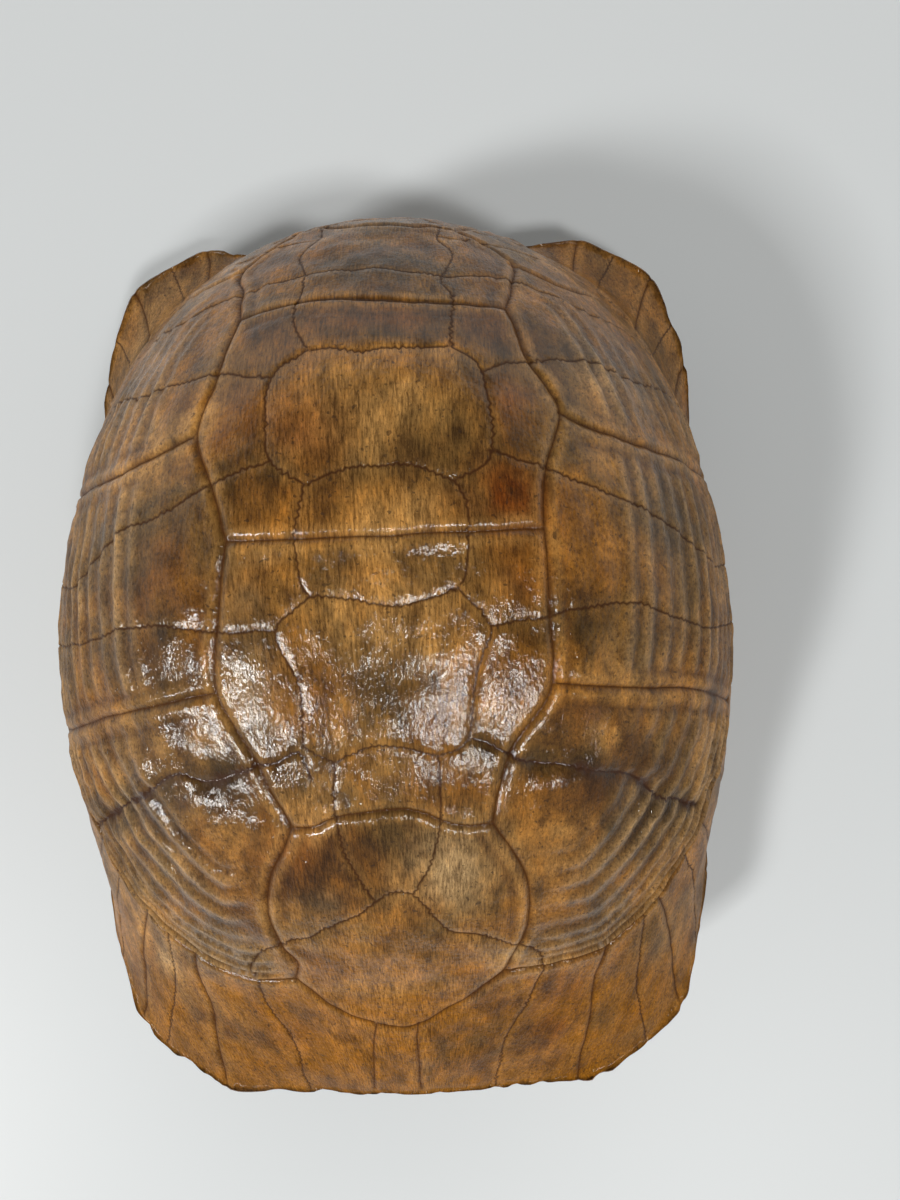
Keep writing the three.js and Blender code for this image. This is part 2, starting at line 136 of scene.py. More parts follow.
def meridian_tables():
    """How long each meridian is from crown to rim, and the t at equal shares of its length."""
    meridians = outer_point(TABLE_ANGLES[:, None], TABLE_STEPS[None, :])
    pieces = np.linalg.norm(np.diff(meridians, axis=1), axis=2)
    lengths = np.concatenate([np.zeros((len(TABLE_ANGLES), 1)), np.cumsum(pieces, axis=1)], axis=1)
    t_at_share = [np.interp(TABLE_STEPS * row[-1], row, TABLE_STEPS) for row in lengths]
    return lengths[:, -1], np.array(t_at_share)


REACH, T_AT_SHARE = meridian_tables()
TANGENT_STEP = 0.4
TANGENT_LIMIT = 0.993


def polar(pattern):
    """Each pattern point's angle, its distance from the crown, and that as a share of the way to the rim."""
    angle = np.arctan2(pattern[:, 0], -pattern[:, 1])
    distance = np.hypot(pattern[:, 0], pattern[:, 1])
    return angle, distance, distance / np.interp(angle, TABLE_ANGLES, REACH)


def on_dome(pattern):
    """From pattern points to points of the smooth outer face."""
    angle, _, share = polar(pattern)
    row = (angle + math.pi) / (2 * math.pi) * (len(TABLE_ANGLES) - 1)
    column = np.clip(share, 0, 1) * (len(TABLE_STEPS) - 1)
    i = np.minimum(row.astype(int), len(TABLE_ANGLES) - 2)
    j = np.minimum(column.astype(int), len(TABLE_STEPS) - 2)
    a = row - i
    b = column - j
    t = (
        T_AT_SHARE[i, j] * (1 - a) * (1 - b)
        + T_AT_SHARE[i + 1, j] * a * (1 - b)
        + T_AT_SHARE[i, j + 1] * (1 - a) * b
        + T_AT_SHARE[i + 1, j + 1] * a * b
    )
    return outer_point(angle, t)


def tangents(pattern):
    """How the outer face moves for a millimetre across and a millimetre back in the pattern."""
    step = TANGENT_STEP
    share = polar(pattern)[2]
    limit = np.where(share > TANGENT_LIMIT, TANGENT_LIMIT / np.maximum(share, 1e-6), 1)[:, None]
    inside = pattern * limit
    across = on_dome(inside + [step, 0]) - on_dome(inside - [step, 0])
    back = on_dome(inside + [0, step]) - on_dome(inside - [0, step])
    return across / (2 * step), back / (2 * step)


def normals_of(pattern):
    across, back = tangents(pattern)
    return unit(np.cross(across, back))


# --- the scute seams and bone sutures, in the pattern ---------------------------------------------
PLEURAL_MARGINAL_RIGHT = [
    (31, -98), (43, -97.5), (59, -95), (67, -92), (78, -82), (88, -68), (98, -50), (104, -34), (107, -16),
    (107, 2), (105, 20), (102, 38), (99, 58), (95, 78), (90, 95), (80, 108), (64, 117), (52, 122), (40, 125),
]
PLEURAL_MARGINAL_LEFT = [
    (-33, -99), (-41, -100), (-50, -99.5), (-58, -97), (-68, -91), (-78, -82), (-88, -68), (-98, -50),
    (-104, -34), (-107, -16), (-107, 2), (-105, 20), (-102, 38), (-99, 58), (-95, 78), (-90, 95), (-80, 108),
    (-64, 117), (-52, 122), (-40, 125),
]
SCUTE_SEAMS = {
    "cervical_left": [(-10, -118), (-13, -128), (-18, -148)],
    "cervical_right": [(4, -118), (3.5, -130), (4, -149)],
    "first_vertebral_front": [(-33, -99), (-22, -111), (-10, -118), (3, -119), (15, -112), (31, -98)],
    "first_vertebral_left": [(-24, -49), (-32, -62), (-35, -75), (-34, -85), (-31, -92), (-33, -99)],
    "first_vertebral_right": [(25, -49), (34, -63), (36, -72), (36, -83), (33.5, -90), (31, -98)],
    "vertebrals_1_2": [(-24, -49), (-19, -49), (-13, -47), (3, -45.5), (12, -48), (19, -49.5), (25, -49)],
    "second_vertebral_left": [(-31, 13), (-34, -1), (-37, -16), (-32, -28), (-28, -39), (-24, -49)],
    "second_vertebral_right": [(34, 14), (35, 1), (37, -16), (30, -29), (26, -40), (25, -49)],
    "vertebrals_2_3": [(-31, 13), (-16, 12), (1, 13), (18, 12.5), (34, 14)],
    "third_vertebral_left": [(-33, 67), (-34, 58), (-35, 48), (-38, 36), (-34, 24), (-31, 13)],
    "third_vertebral_right": [(31, 67), (34, 51), (39, 39), (35, 26), (34, 14)],
    "vertebrals_3_4": [(-33, 67), (-17, 68), (1, 66), (18, 66), (31, 67)],
    "fourth_vertebral_left": [(-33, 67), (-37, 81), (-41, 93), (-26, 116)],
    "fourth_vertebral_right": [(31, 67), (38, 88), (36, 95), (23, 108)],
    "vertebrals_4_5": [(-26, 116), (-12, 110), (-2, 107.5), (10, 106), (23, 108)],
    "fifth_vertebral_left": [(-26, 116), (-33, 121), (-40, 125)],
    "fifth_vertebral_right": [(23, 108), (33, 118), (40, 125)],
    "fifth_vertebral_rear": [(-40, 125), (-20, 131), (0, 132), (20, 131), (40, 125)],
    "pleurals_1_2_left": [(-37, -16), (-51, -17), (-68, -18), (-88, -20), (-107, -21)],
    "pleurals_1_2_right": [(37, -16), (54, -16), (72, -15), (90, -16), (107, -18)],
    "pleurals_2_3_left": [(-38, 36), (-50, 34), (-62, 34), (-80, 37), (-101, 42)],
    "pleurals_2_3_right": [(39, 39), (48, 37), (64, 38), (80, 40), (101, 44)],
    "pleurals_3_4_left": [(-41, 93), (-58, 94), (-76, 98), (-90, 96)],
    "pleurals_3_4_right": [(37, 90), (53, 87), (72, 94), (90, 96)],
    "pleurals_marginals_left": PLEURAL_MARGINAL_LEFT,
    "pleurals_marginals_right": PLEURAL_MARGINAL_RIGHT,
    "marginals_1_2_left": [(-68, -91), (-71, -101), (-73, -112), (-81, -125), (-87, -139)],
    "marginals_1_2_right": [(66, -93), (65, -105), (70, -119), (77, -141)],
}
BONE_SUTURES = {
    "neural_1_left": [(-12, -34), (-13, -47), (-10, -60), (-5, -70)],
    "neural_1_right": [(12, -33), (12, -50), (9, -60), (5, -68)],
    "neurals_1_2": [(-12, -34), (-5, -31), (3, -31), (12, -33)],
    "neural_2_left": [(-12, -34), (-17, -31), (-19, -28), (-18, -17), (-22, -5), (-14, 1)],
    "neural_2_right": [(16, 2), (23, -5), (21, -12), (19, -29), (12, -33)],
    "neurals_2_3": [(-14, 1), (-5, 0), (4, -1), (16, 2)],
    "neural_3_left": [(-15, 23), (-17, 14), (-16, 4), (-14, 1)],
    "neural_3_right": [(17, 23), (19, 17), (18, 5), (16, 2)],
    "neurals_3_4": [(-15, 23), (-9, 26), (6, 27), (17, 23)],
    "neural_4_left": [(-15, 23), (-22, 28), (-22, 46), (-14, 52)],
    "neural_4_right": [(17, 52), (23, 46), (24, 29), (17, 23)],
    "neurals_4_5": [(-14, 52), (2, 51), (17, 52)],
    "neural_5_left": [(-14, 52), (-18, 61), (-18, 69), (-18, 80)],
    "neural_5_right": [(17, 52), (18, 60), (18, 67), (16, 77)],
    "neurals_5_6": [(-18, 80), (-2, 79), (16, 77)],
    "neural_6_left": [(-18, 80), (-22, 90), (-19, 102), (-21, 113)],
    "neural_6_right": [(16, 77), (20, 90), (17, 100), (20, 113)],
    "suprapygal": [(-21, 113), (-10, 120), (9, 120), (20, 113)],
    "suprapygal_left": [(-21, 113), (-40, 112), (-62, 117)],
    "suprapygal_right": [(20, 113), (40, 112), (62, 117)],
    "pygal_left": [(-10, 120), (-14, 133), (-13, 156)],
    "pygal_right": [(9, 120), (14, 133), (13, 156)],
    "nuchal_left": [(-5, -70), (-13, -75), (-24, -81), (-32, -83), (-40, -87), (-46, -93), (-46, -99)],
    "nuchal_right": [(5, -68), (13, -79), (22, -82), (30, -85), (40, -90), (44, -98)],
    "nuchal_front": [(-5, -70), (0, -67), (5, -68)],
    "costals_2_3_left": [(-22, -5), (-34, -4), (-54, 0), (-79, 0), (-107, 3)],
    "costals_2_3_right": [(23, -5), (36, -2), (54, 2), (61, 2), (82, 0), (107, 4)],
    "costals_3_4_left": [(-22, 28), (-33, 25), (-47, 21), (-60, 20), (-77, 14), (-90, 16), (-105, 20)],
    "costals_3_4_right": [(24, 29), (36, 26), (51, 23), (66, 21), (78, 18), (92, 17), (105, 20)],
    "costals_4_5_left": [(-22, 46), (-32, 49), (-44, 51), (-58, 53), (-77, 60), (-98, 63)],
    "costals_4_5_right": [(23, 46), (34, 51), (45, 54), (54, 56), (66, 57), (82, 62), (98, 64)],
    "costals_5_6_left": [(-18, 80), (-38, 79), (-45, 78), (-57, 76), (-72, 78), (-95, 80)],
    "costals_5_6_right": [(16, 77), (32, 80), (46, 79), (60, 78), (76, 80), (95, 82)],
    "costals_6_7_left": [(-19, 102), (-40, 103), (-60, 104), (-86, 101)],
    "costals_6_7_right": [(17, 100), (40, 102), (60, 103), (86, 101)],
    "peripherals_1_2_left": [(-46, -100), (-47, -110), (-44, -126), (-49, -146)],
    "peripherals_1_2_right": [(44, -99), (41, -110), (37, -125), (40, -148)],
    "peripherals_2_3_left": [(-76, -84), (-86, -102), (-111, -121)],
    "peripherals_2_3_right": [(78, -82), (85, -103), (104, -124)],
}
# The first costal suture of each side is an open, darker crack.
BONE_CRACKS = {
    "costals_1_2_left": [
        (-18, -36), (-20, -31), (-27, -33), (-36, -34.5), (-45, -36), (-52, -33), (-61, -37), (-72, -41),
        (-81, -45), (-96, -50),
    ],
    "costals_1_2_right": [
        (20, -29), (30, -33), (34, -34), (45, -35), (52, -36), (62, -38), (70, -42), (80, -45), (91, -48),
    ],
}
PERIPHERAL_SUTURE_DEGREES = [54, 69, 83, 96, 108, 119, 130, 142, 155]


def along_line(points, gap):
    """Points of a smooth curve through the given ones, about `gap` apart."""
    knots = np.array(points, float)
    ends = [2 * knots[0] - knots[1], *knots, 2 * knots[-1] - knots[-2]]
    fine = []
    for a, b, c, d in zip(ends, ends[1:], ends[2:], ends[3:]):
        f = np.linspace(0, 1, 24, endpoint=False)[:, None]
        fine.append(
            0.5 * (2 * b + (c - a) * f + (2 * a - 5 * b + 4 * c - d) * f**2 + (3 * b - a - 3 * c + d) * f**3)
        )
    fine = np.concatenate([*fine, knots[-1:]])
    travelled = np.concatenate([[0], np.cumsum(np.linalg.norm(np.diff(fine, axis=0), axis=1))])
    steps = max(2, round(travelled[-1] / gap) + 1)
    at = np.linspace(0, travelled[-1], steps)
    return np.stack([np.interp(at, travelled, fine[:, k]) for k in (0, 1)], axis=1)


def sideways(line, distance):
    """The line moved over the surface by this many millimetres, to its own right."""
    across, back = tangents(line)
    ahead = np.gradient(line, axis=0)
    along = unit(across * ahead[:, :1] + back * ahead[:, 1:])
    aside = np.cross(along, unit(np.cross(across, back))) * np.reshape(distance, (-1, 1))
    aa = (across * across).sum(1)
    ab = (across * back).sum(1)
    bb = (back * back).sum(1)
    ra = (across * aside).sum(1)
    rb = (back * aside).sum(1)
    det = aa * bb - ab * ab
    return line + np.stack([(ra * bb - rb * ab) / det, (rb * aa - ra * ab) / det], axis=1)


def wavy(line, size, wavelength):
    """The line with a slow random wander, none at its ends."""
    steps = np.arange(len(line))
    knots = np.arange(0, len(line) + wavelength, wavelength)
    wander = np.interp(steps, knots, random.normal(0, size, len(knots)))
    fade = np.minimum(1, np.minimum(steps, steps[::-1]) / 4)
    return sideways(line, wander * fade)


def jagged(line, tooth):
    """The line with the uneven teeth of a suture."""
    signs = np.where(np.arange(len(line)) % 2, 1.0, -1.0)
    run = np.repeat(random.choice([0.1, 0.5, 0.9, 1.4], len(line) // 4 + 1), 4)[: len(line)]
    sizes = signs * tooth * run * random.uniform(0.1, 1.1, len(line))
    sizes[[0, -1]] = 0
    return sideways(line, sizes)


def pleural_line_at(degrees, left):
    """Where the pleural-marginal line stands at this many degrees from the front."""
    line = np.array(PLEURAL_MARGINAL_LEFT if left else PLEURAL_MARGINAL_RIGHT, float)
    turn = np.degrees(np.arctan2(np.abs(line[:, 0]), -line[:, 1]))
    return np.interp(degrees, turn, np.hypot(line[:, 0], line[:, 1]))


def radial(degrees_in, degrees_out, left):
    """A line from the pleural-marginal line, or the fifth vertebral, out to the rim."""
    side = -1 if left else 1
    start = pleural_line_at(degrees_in, left)
    end = np.interp(math.radians(degrees_out) * side, TABLE_ANGLES, REACH)
    points = []
    for f in (0, 0.35, 0.7, 1):
        turn = math.radians(degrees_in + (degrees_out - degrees_in) * f)
        reach = start + (end - start) * f
        points.append((side * math.sin(turn) * reach, -math.cos(turn) * reach))
    return points


for side, left in (("left", True), ("right", False)):
    for number, (at_pleurals, at_rim, _) in enumerate(MARGINAL_SEAMS[1:], start=2):
        SCUTE_SEAMS[f"marginals_{number}_{number + 1}_{side}"] = radial(at_pleurals, at_rim, left)
    for degrees in PERIPHERAL_SUTURE_DEGREES:
        BONE_SUTURES[f"peripheral_suture_{degrees}_{side}"] = radial(degrees + 1, degrees, left)
SCUTE_SEAMS["supracaudal"] = [(0, 132), (0.5, 143), (0, 155)]

# --- the mesh points of the outer face ------------------------------------------------------------
BASE_GAP = 1.5
RIM_GAP = 1.25
GRID_REACH = 170
# The rim's chips: how many, half-widths in radians, depths, and the most that overlapping ones take away.
RIM_CHIPS = 46
CHIP_WIDTHS = (0.008, 0.03)
CHIP_DEPTHS = (0.2, 1.1)
DEEPEST_CHIP = 1.6
SEAM_GAP = 1.15
SUTURE_GAP = 0.8
SEAM_ROWS = [0.45, 1.1, 2.1]
SUTURE_ROWS = [0.45]
RIDGE_ROWS = [0, -0.9, 0.9]
# How near each kind of point may stand to those before it.
SEAM_CLEAR = 0.25
SUTURE_CLEAR = 0.3
SEAM_ROW_CLEAR = 0.4
SUTURE_ROW_CLEAR = 0.38
RIDGE_ROW_CLEAR = 0.7
FIELD_CLEAR = 0.95
# How far out to the rim lines and the points between them go, as a share.
KEPT_FROM_RIM = 0.992
FIELD_FROM_RIM = 0.985
# How far the lines wander, how long their waves are in points, and how large the teeth are.
SEAM_WANDER = 0.2
SEAM_WAVE = 6
BONE_WANDER = 0.3
BONE_WAVE = 7
SUTURE_TOOTH = 0.32
CRACK_TOOTH = 0.5
# The ridges of the pleurals' growth rings: how far in from the marginals each stands.
GROWTH_RIDGES = [2.0, 4.8, 8.4, 12.6, 18.0, 24.2, 30.0, 35.6, 40.8, 45.8, 50.6]


class Points:
    """Pattern points, kept apart from each other, the most important first."""

    def __init__(self):
        self.cells = {}
        self.kept = []

    def near(self, x, y, gap):
        """Whether a kept point stands nearer than `gap`, which is 2 mm at most."""
        reach = 2
        i, j = math.floor(x), math.floor(y)
        for a in range(i - reach, i + reach + 1):
            for b in range(j - reach, j + reach + 1):
                for u, v in self.cells.get((a, b), ()):
                    if (u - x) ** 2 + (v - y) ** 2 < gap * gap:
                        return True
        return False

    def add(self, points, gap):
        """Adds each point that has none nearer than `gap`. Gives its number, or None where it's left out."""
        numbers = []
        for x, y in np.asarray(points, float).tolist():
            if gap and self.near(x, y, gap):
                numbers.append(None)
                continue
            self.cells.setdefault((math.floor(x), math.floor(y)), []).append((x, y))
            numbers.append(len(self.kept))
            self.kept.append((x, y))
        return numbers


def inside_rim(points, share=KEPT_FROM_RIM):
    return points[polar(points)[2] < share]


def rim_pattern():
    """Points of the rim in the pattern, with small chips, most of them in front."""
    angle = np.linspace(-math.pi, math.pi, 6001)
    rim = outer_point(angle, np.ones_like(angle))
    travelled = np.concatenate([[0], np.cumsum(np.linalg.norm(np.diff(rim, axis=0), axis=1))])
    count = round(travelled[-1] / RIM_GAP)
    at = np.interp(np.arange(count) / count * travelled[-1], travelled, angle)
    chip = np.zeros(count)
    for _ in range(RIM_CHIPS):
        centre = random.normal(0, 0.55) if random.uniform() < 0.6 else random.uniform(-math.pi, math.pi)
        width = random.uniform(*CHIP_WIDTHS)
        depth = random.uniform(*CHIP_DEPTHS)
        away = np.angle(np.exp(1j * (at - centre)))
        chip += depth * np.exp(-((away / width) ** 2))
    reach = np.interp(at, TABLE_ANGLES, REACH) - np.minimum(chip, DEEPEST_CHIP)
    return np.stack([np.sin(at) * reach, -np.cos(at) * reach], axis=1)


def hex_grid(gap):
    rows = np.arange(-GRID_REACH, GRID_REACH, gap * math.sqrt(3) / 2)
    columns = np.arange(-GRID_REACH, GRID_REACH, gap)
    return np.concatenate([
        np.stack([columns + (k % 2) * gap / 2, np.full_like(columns, y)], axis=1) for k, y in enumerate(rows)
    ])


def links(numbers):
    """Edges between neighbours of a line, where both were kept."""
    return [(a, b) for a, b in zip(numbers, numbers[1:]) if a is not None and b is not None]


def flat_mesh(points, ring, edges=()):
    """Triangles between pattern points, inside the ring of the first `ring` of them."""
    vectors = [Vector(p) for p in points]
    rings = [list(range(ring))]
    found, _, faces, _, _, within = delaunay_2d_cdt(vectors, list(edges), rings, 0, 1e-5, True)
    kept = [face for face, sources in zip(faces, within) if sources]
    return np.array([tuple(v) for v in found]), np.array(kept)


def bone_line(points, tooth):
    return jagged(wavy(along_line(points, SUTURE_GAP), BONE_WANDER, BONE_WAVE), tooth)


def seam_line(points):
    return wavy(along_line(points, SEAM_GAP), SEAM_WANDER, SEAM_WAVE)


seam_lines = {name: seam_line(line) for name, line in SCUTE_SEAMS.items()}
suture_lines = {name: bone_line(line, SUTURE_TOOTH) for name, line in BONE_SUTURES.items()}
crack_lines = {name: bone_line(line, CRACK_TOOTH) for name, line in BONE_CRACKS.items()}
bone_lines = [*suture_lines.values(), *crack_lines.values()]
pleural_edges = [along_line(line, 1.6) for line in (PLEURAL_MARGINAL_LEFT, PLEURAL_MARGINAL_RIGHT)]
pleural_seams = [
    line for name, line in seam_lines.items() if name.startswith("pleurals") and "marginals" not in name
]

rim_points = rim_pattern()
points = Points()
points.add(rim_points, 0)
edges = []
for lines, clear in ((seam_lines.values(), SEAM_CLEAR), (bone_lines, SUTURE_CLEAR)):
    for line in lines:
        edges += links(points.add(inside_rim(line), clear))
for lines, rows, clear in (
    (seam_lines.values(), SEAM_ROWS, SEAM_ROW_CLEAR),
    (bone_lines, SUTURE_ROWS, SUTURE_ROW_CLEAR),
):
    for line in lines:
        for distance in rows:
            for side in (-1, 1):
                points.add(inside_rim(sideways(line, side * distance)), clear)
for line, inward in zip(pleural_edges, (1, -1)):
    for ridge in GROWTH_RIDGES:
        for step in RIDGE_ROWS:
            points.add(inside_rim(sideways(line, inward * (ridge + step))), RIDGE_ROW_CLEAR)
points.add(inside_rim(hex_grid(BASE_GAP), FIELD_FROM_RIM), FIELD_CLEAR)

# --- relief and stains of the outer face ----------------------------------------------------------
# Linear colours of the varnished bone; the crest colour is a painted highlight on the growth ridges.
TAN = (0.5, 0.3, 0.12)
CREST_HIGHLIGHT = (0.48, 0.34, 0.2)
GOLD = (0.35, 0.162, 0.03)
BROWN = (0.11, 0.047, 0.01)
DULL = (0.155, 0.096, 0.034)
OLIVE = (0.045, 0.03, 0.011)
AMBER = (0.2, 0.05, 0.002)
HONEY = (0.29, 0.125, 0.007)
RED = (0.14, 0.043, 0.008)
GREY = (0.29, 0.21, 0.135)
CREAM = (0.52, 0.38, 0.23)
DARK = (0.03, 0.012, 0.005)
# How the varnish tints them all.
VARNISH = (0.82, 0.735, 0.55)

# Stains, with a painted highlight and a painted sheen among them: place in the pattern, half-sizes across
# and back, colour and strength.
STAINS_AND_HIGHLIGHTS = [
    ((3, -15), (9, 6), OLIVE, 0.85), ((-10, -10), (8, 7), OLIVE, 0.45), ((-28, -11), (6, 13), GREY, 0.6),
    ((-44, -38), (16, 6), OLIVE, 0.8), ((51, -35), (14, 5), OLIVE, 0.7), ((-12, 6), (5, 4), OLIVE, 0.7),
    ((15, 5), (8, 3.5), OLIVE, 0.6), ((-9, 18), (6, 4), BROWN, 0.5), ((4, 16), (13, 7), TAN, 0.6),
    ((-14, 42), (11, 10), RED, 0.5), ((-14, 34), (8, 6), AMBER, 0.6), ((0, 43), (14, 8), TAN, 0.5),
    ((9, 29), (12, 6), OLIVE, 0.45), ((-28, 40), (7, 12), RED, 0.3), ((29, 40), (6, 9), RED, 0.6),
    ((28, 20), (9, 6), AMBER, 0.95), ((31, 17), (5, 4), DARK, 0.4), ((-27, 19), (8, 5), BROWN, 0.6),
    ((1, 60), (16, 4), AMBER, 0.5), ((3, 55), (16, 2.2), OLIVE, 0.65), ((-24, 60), (8, 6), BROWN, 0.6),
    ((25, 60), (7, 7), AMBER, 0.4), ((54, 52), (14, 8), TAN, 0.5), ((56, 62), (12, 6), RED, 0.4),
    ((-54, 3), (4, 9), AMBER, 0.5), ((-45, 12), (5, 6), AMBER, 0.4), ((47, 11), (14, 7), GOLD, 0.5),
    ((46, -5), (18, 5), OLIVE, 0.6), ((62, 22), (12, 5), OLIVE, 0.6), ((-48, 22), (16, 4), OLIVE, 0.5),
    ((-50, 12), (14, 4), OLIVE, 0.45), ((4, -53), (9, 7), OLIVE, 0.6), ((-24, -57), (10, 8), AMBER, 0.45),
    ((14, -61), (9, 9), CREAM, 0.55), ((17, -56), (6, 6), GREY, 0.6),
    ((27, -60), (6, 12), TAN, 0.5), ((-2, -94), (20, 13), GOLD, 0.6), ((34, -91), (4, 2.5), CREAM, 0.7),
    ((38, -89), (3, 3), DARK, 0.8), ((-42, -112), (14, 5), OLIVE, 0.6), ((57, -116), (9, 13), AMBER, 0.6),
    ((-43, -62), (12, 14), GOLD, 0.6), ((-66, -47), (9, 10), OLIVE, 0.4), ((44, -62), (12, 12), TAN, 0.4),
    ((66, -53), (10, 9), OLIVE, 0.5), ((-81, -96), (6, 9), GREY, 0.6), ((88, -96), (6, 9), GREY, 0.6),
    ((83, -90), (4, 6), OLIVE, 0.5), ((-17, -6), (5, 5), GOLD, 0.5), ((20, -8), (7, 9), GOLD, 0.5),
    ((30, 4), (5, 6), AMBER, 0.4), ((1, -36), (9, 5), TAN, 0.4), ((-42, -78), (14, 6), OLIVE, 0.4),
    ((46, -84), (16, 5), OLIVE, 0.45), ((-60, -112), (7, 12), TAN, 0.4), ((-22, -130), (16, 8), GOLD, 0.5),
    ((18, -130), (12, 9), BROWN, 0.5), ((0, 66), (30, 9), BROWN, 0.25), ((2, 86), (18, 8), RED, 0.35),
    ((-62, 60), (13, 12), TAN, 0.4), ((0, -134), (5, 12), GOLD, 0.5), ((-16, -62), (7, 4), OLIVE, 0.6),
    ((-17.5, -69.5), (4, 3), GREY, 1.0), ((17, -62), (5, 8), CREAM, 0.9), ((-50, -3), (15, 9), BROWN, 0.5),
    ((1, 78), (24, 9), DULL, 0.9), ((93, 104), (16, 18), BROWN, 0.3), ((44, -62), (14, 12), BROWN, 0.3),
    ((87, -95), (8, 11), DULL, 0.6), ((4, -4), (11, 6), TAN, 0.75),
    # The cream patch at (-84, -98) is a painted highlight on the left marginals.
    ((2, 6), (9, 4), TAN, 0.2), ((66, -52), (10, 9), DARK, 0.35), ((-84, -98), (4, 9), CREAM, 0.9),
    ((91, -100), (4, 9), CREAM, 0.7), ((0, 36), (12, 9), TAN, 0.45), ((58, -5), (10, 9), DULL, 0.5),
    # The cream patch at (-96, 101) is a painted sheen, the bright room reflected at the rear left.
    ((-96, 101), (12, 16), CREAM, 0.45), ((-64, -60), (9, 12), DULL, 0.5),
    ((58, -37), (17, 4), RED, 0.4), ((51, -36.5), (8, 1.6), DARK, 0.5), ((-38, -36), (15, 3), DARK, 0.35),
    ((-10, -60), (7, 8), OLIVE, 0.45), ((2, -78), (16, 5), DULL, 0.5), ((0, -104), (18, 6), TAN, 0.4),
    ((5, -5), (14, 8), TAN, 0.5), ((-16, -66), (9, 6), OLIVE, 0.35), ((1, 79), (26, 9), OLIVE, 0.3),
    ((87, -95), (10, 14), BROWN, 0.5), ((16, -64), (7, 8), CREAM, 0.5), ((24, -73), (3, 2), DARK, 0.6),
    ((53, 29), (10, 14), TAN, 0.3), ((-52, 30), (8, 12), TAN, 0.3), ((58, -12), (9, 6), TAN, 0.35),
    ((-16, -66), (13, 9), BROWN, 0.4), ((87, -95), (10, 14), DULL, 0.5),
    ((1, 79), (26, 9), BROWN, 0.3), ((0, -100), (24, 10), GOLD, 0.3), ((-43, -122), (9, 8), AMBER, 0.4),
]
# Dark bands beside sutures: which one, how far over each side it spreads and how dark it is.
STAINED_SUTURES = [
    ("costals_3_4_left", 6, 0.75), ("costals_3_4_right", 6, 0.6), ("costals_2_3_left", 5, 0.6),
    ("costals_2_3_right", 5, 0.65), ("costals_4_5_left", 4, 0.5), ("costals_4_5_right", 4, 0.5),
    ("costals_1_2_left", 5, 0.8), ("costals_1_2_right", 5, 0.85), ("nuchal_left", 3.5, 0.4),
    ("neural_1_left", 3, 0.3), ("neurals_3_4", 3, 0.35),
]
# Growth lines that run beside a seam: which one, how far off to its right, and between which shares of it.
SIDE_LINES = [
    ("pleurals_1_2_left", -4.8, 0.1, 0.8), ("pleurals_1_2_right", 4.8, 0.1, 0.85),
    ("first_vertebral_left", -4.0, 0.0, 0.55), ("first_vertebral_right", 4.0, 0.0, 0.5),
    ("second_vertebral_left", 3.6, 0.15, 0.85), ("second_vertebral_right", -3.6, 0.1, 0.5),
    ("pleurals_2_3_right", 4.4, 0.1, 0.8), ("third_vertebral_right", -3.8, 0.0, 0.45),
    ("fourth_vertebral_right", -3.8, 0.0, 0.9), ("fourth_vertebral_left", 3.8, 0.0, 0.7),
    ("vertebrals_3_4", 4.4, 0.05, 0.95), ("pleurals_3_4_left", 4.4, 0.1, 0.8),
    ("pleurals_1_2_left", 3.6, 0.3, 0.95), ("pleurals_1_2_right", -3.4, 0.35, 0.95),
    ("pleurals_2_3_left", -3.8, 0.2, 0.9), ("pleurals_2_3_left", 4.2, 0.2, 0.85),
]
SEAM_DEPTH = 0.62
SEAM_HALF = 0.56
SUTURE_DEPTH = 0.22
SUTURE_HALF = 0.2
CRACK_DEPTH = 0.5
CRACK_HALF = 0.34
SIDE_LINE_DEPTH = 0.3
SIDE_LINE_HALF = 0.7
RIDGE_HALF = 1.5
RIDGE_HEIGHT = 0.85
FURROW_DEPTH = 0.35
SHOULDER_HEIGHT = 0.2
LUMP_HEIGHT = 0.34
SMALL_LUMP_HEIGHT = 0.13
CRACK_HOLLOW = 0.6


def lattice_noise(points, size, seed):
    """Smooth random values from -1 to 1 that change over about `size` millimetres."""
    cells = 32
    table = np.random.default_rng(seed).uniform(-1, 1, (cells, cells, cells))
    at = points / size + 1000
    cell = np.floor(at).astype(int)
    f = at - cell
    f = f * f * (3 - 2 * f)
    total = np.zeros(len(points))
    for corner in range(8):
        shift = np.array([corner & 1, corner >> 1 & 1, corner >> 2])
        i, j, k = ((cell + shift) % cells).T
        total += np.prod(np.where(shift, f, 1 - f), axis=1) * table[i, j, k]
    return total


def layered_noise(points, size, seed, layers=3):
    return sum(lattice_noise(points, size / 2**k, seed + k) / 1.7**k for k in range(layers))


def distance_to(places, lines, surface=on_dome):
    """How far each place stands from the nearest of these pattern lines, over the surface."""
    samples = []
    for line in lines:
        steps = np.arange(0, len(line) - 0.999, 0.25)
        numbers = np.arange(len(line))
        samples.append(np.stack([np.interp(steps, numbers, line[:, k]) for k in (0, 1)], axis=1))
    samples = surface(np.concatenate(samples))
    tree = kdtree.KDTree(len(samples))
    for number, sample in enumerate(samples):
        tree.insert(sample, number)
    tree.balance()
    return np.array([tree.find(place)[2] for place in places])


def groove(distance, half):
    return np.exp(-((distance / half) ** 2))


def vertebral_edge(back, side):
    """How far across the vertebral scutes reach at this place along the back."""
    names = [n for n in SCUTE_SEAMS if n.endswith(f"vertebral_{side}")]
    corners = np.array(sorted({p for n in names for p in SCUTE_SEAMS[n]}, key=lambda p: p[1]), float)
    return np.interp(back, corners[:, 1], np.abs(corners[:, 0]))


def past_pleurals(pattern):
    """How far out past the pleural-marginal line each pattern point lies, below 0 inside it."""
    angle, distance, _ = polar(pattern)
    degrees = np.degrees(np.abs(angle))
    left = pattern[:, 0] < 0
    return distance - np.where(left, pleural_line_at(degrees, True), pleural_line_at(degrees, False))


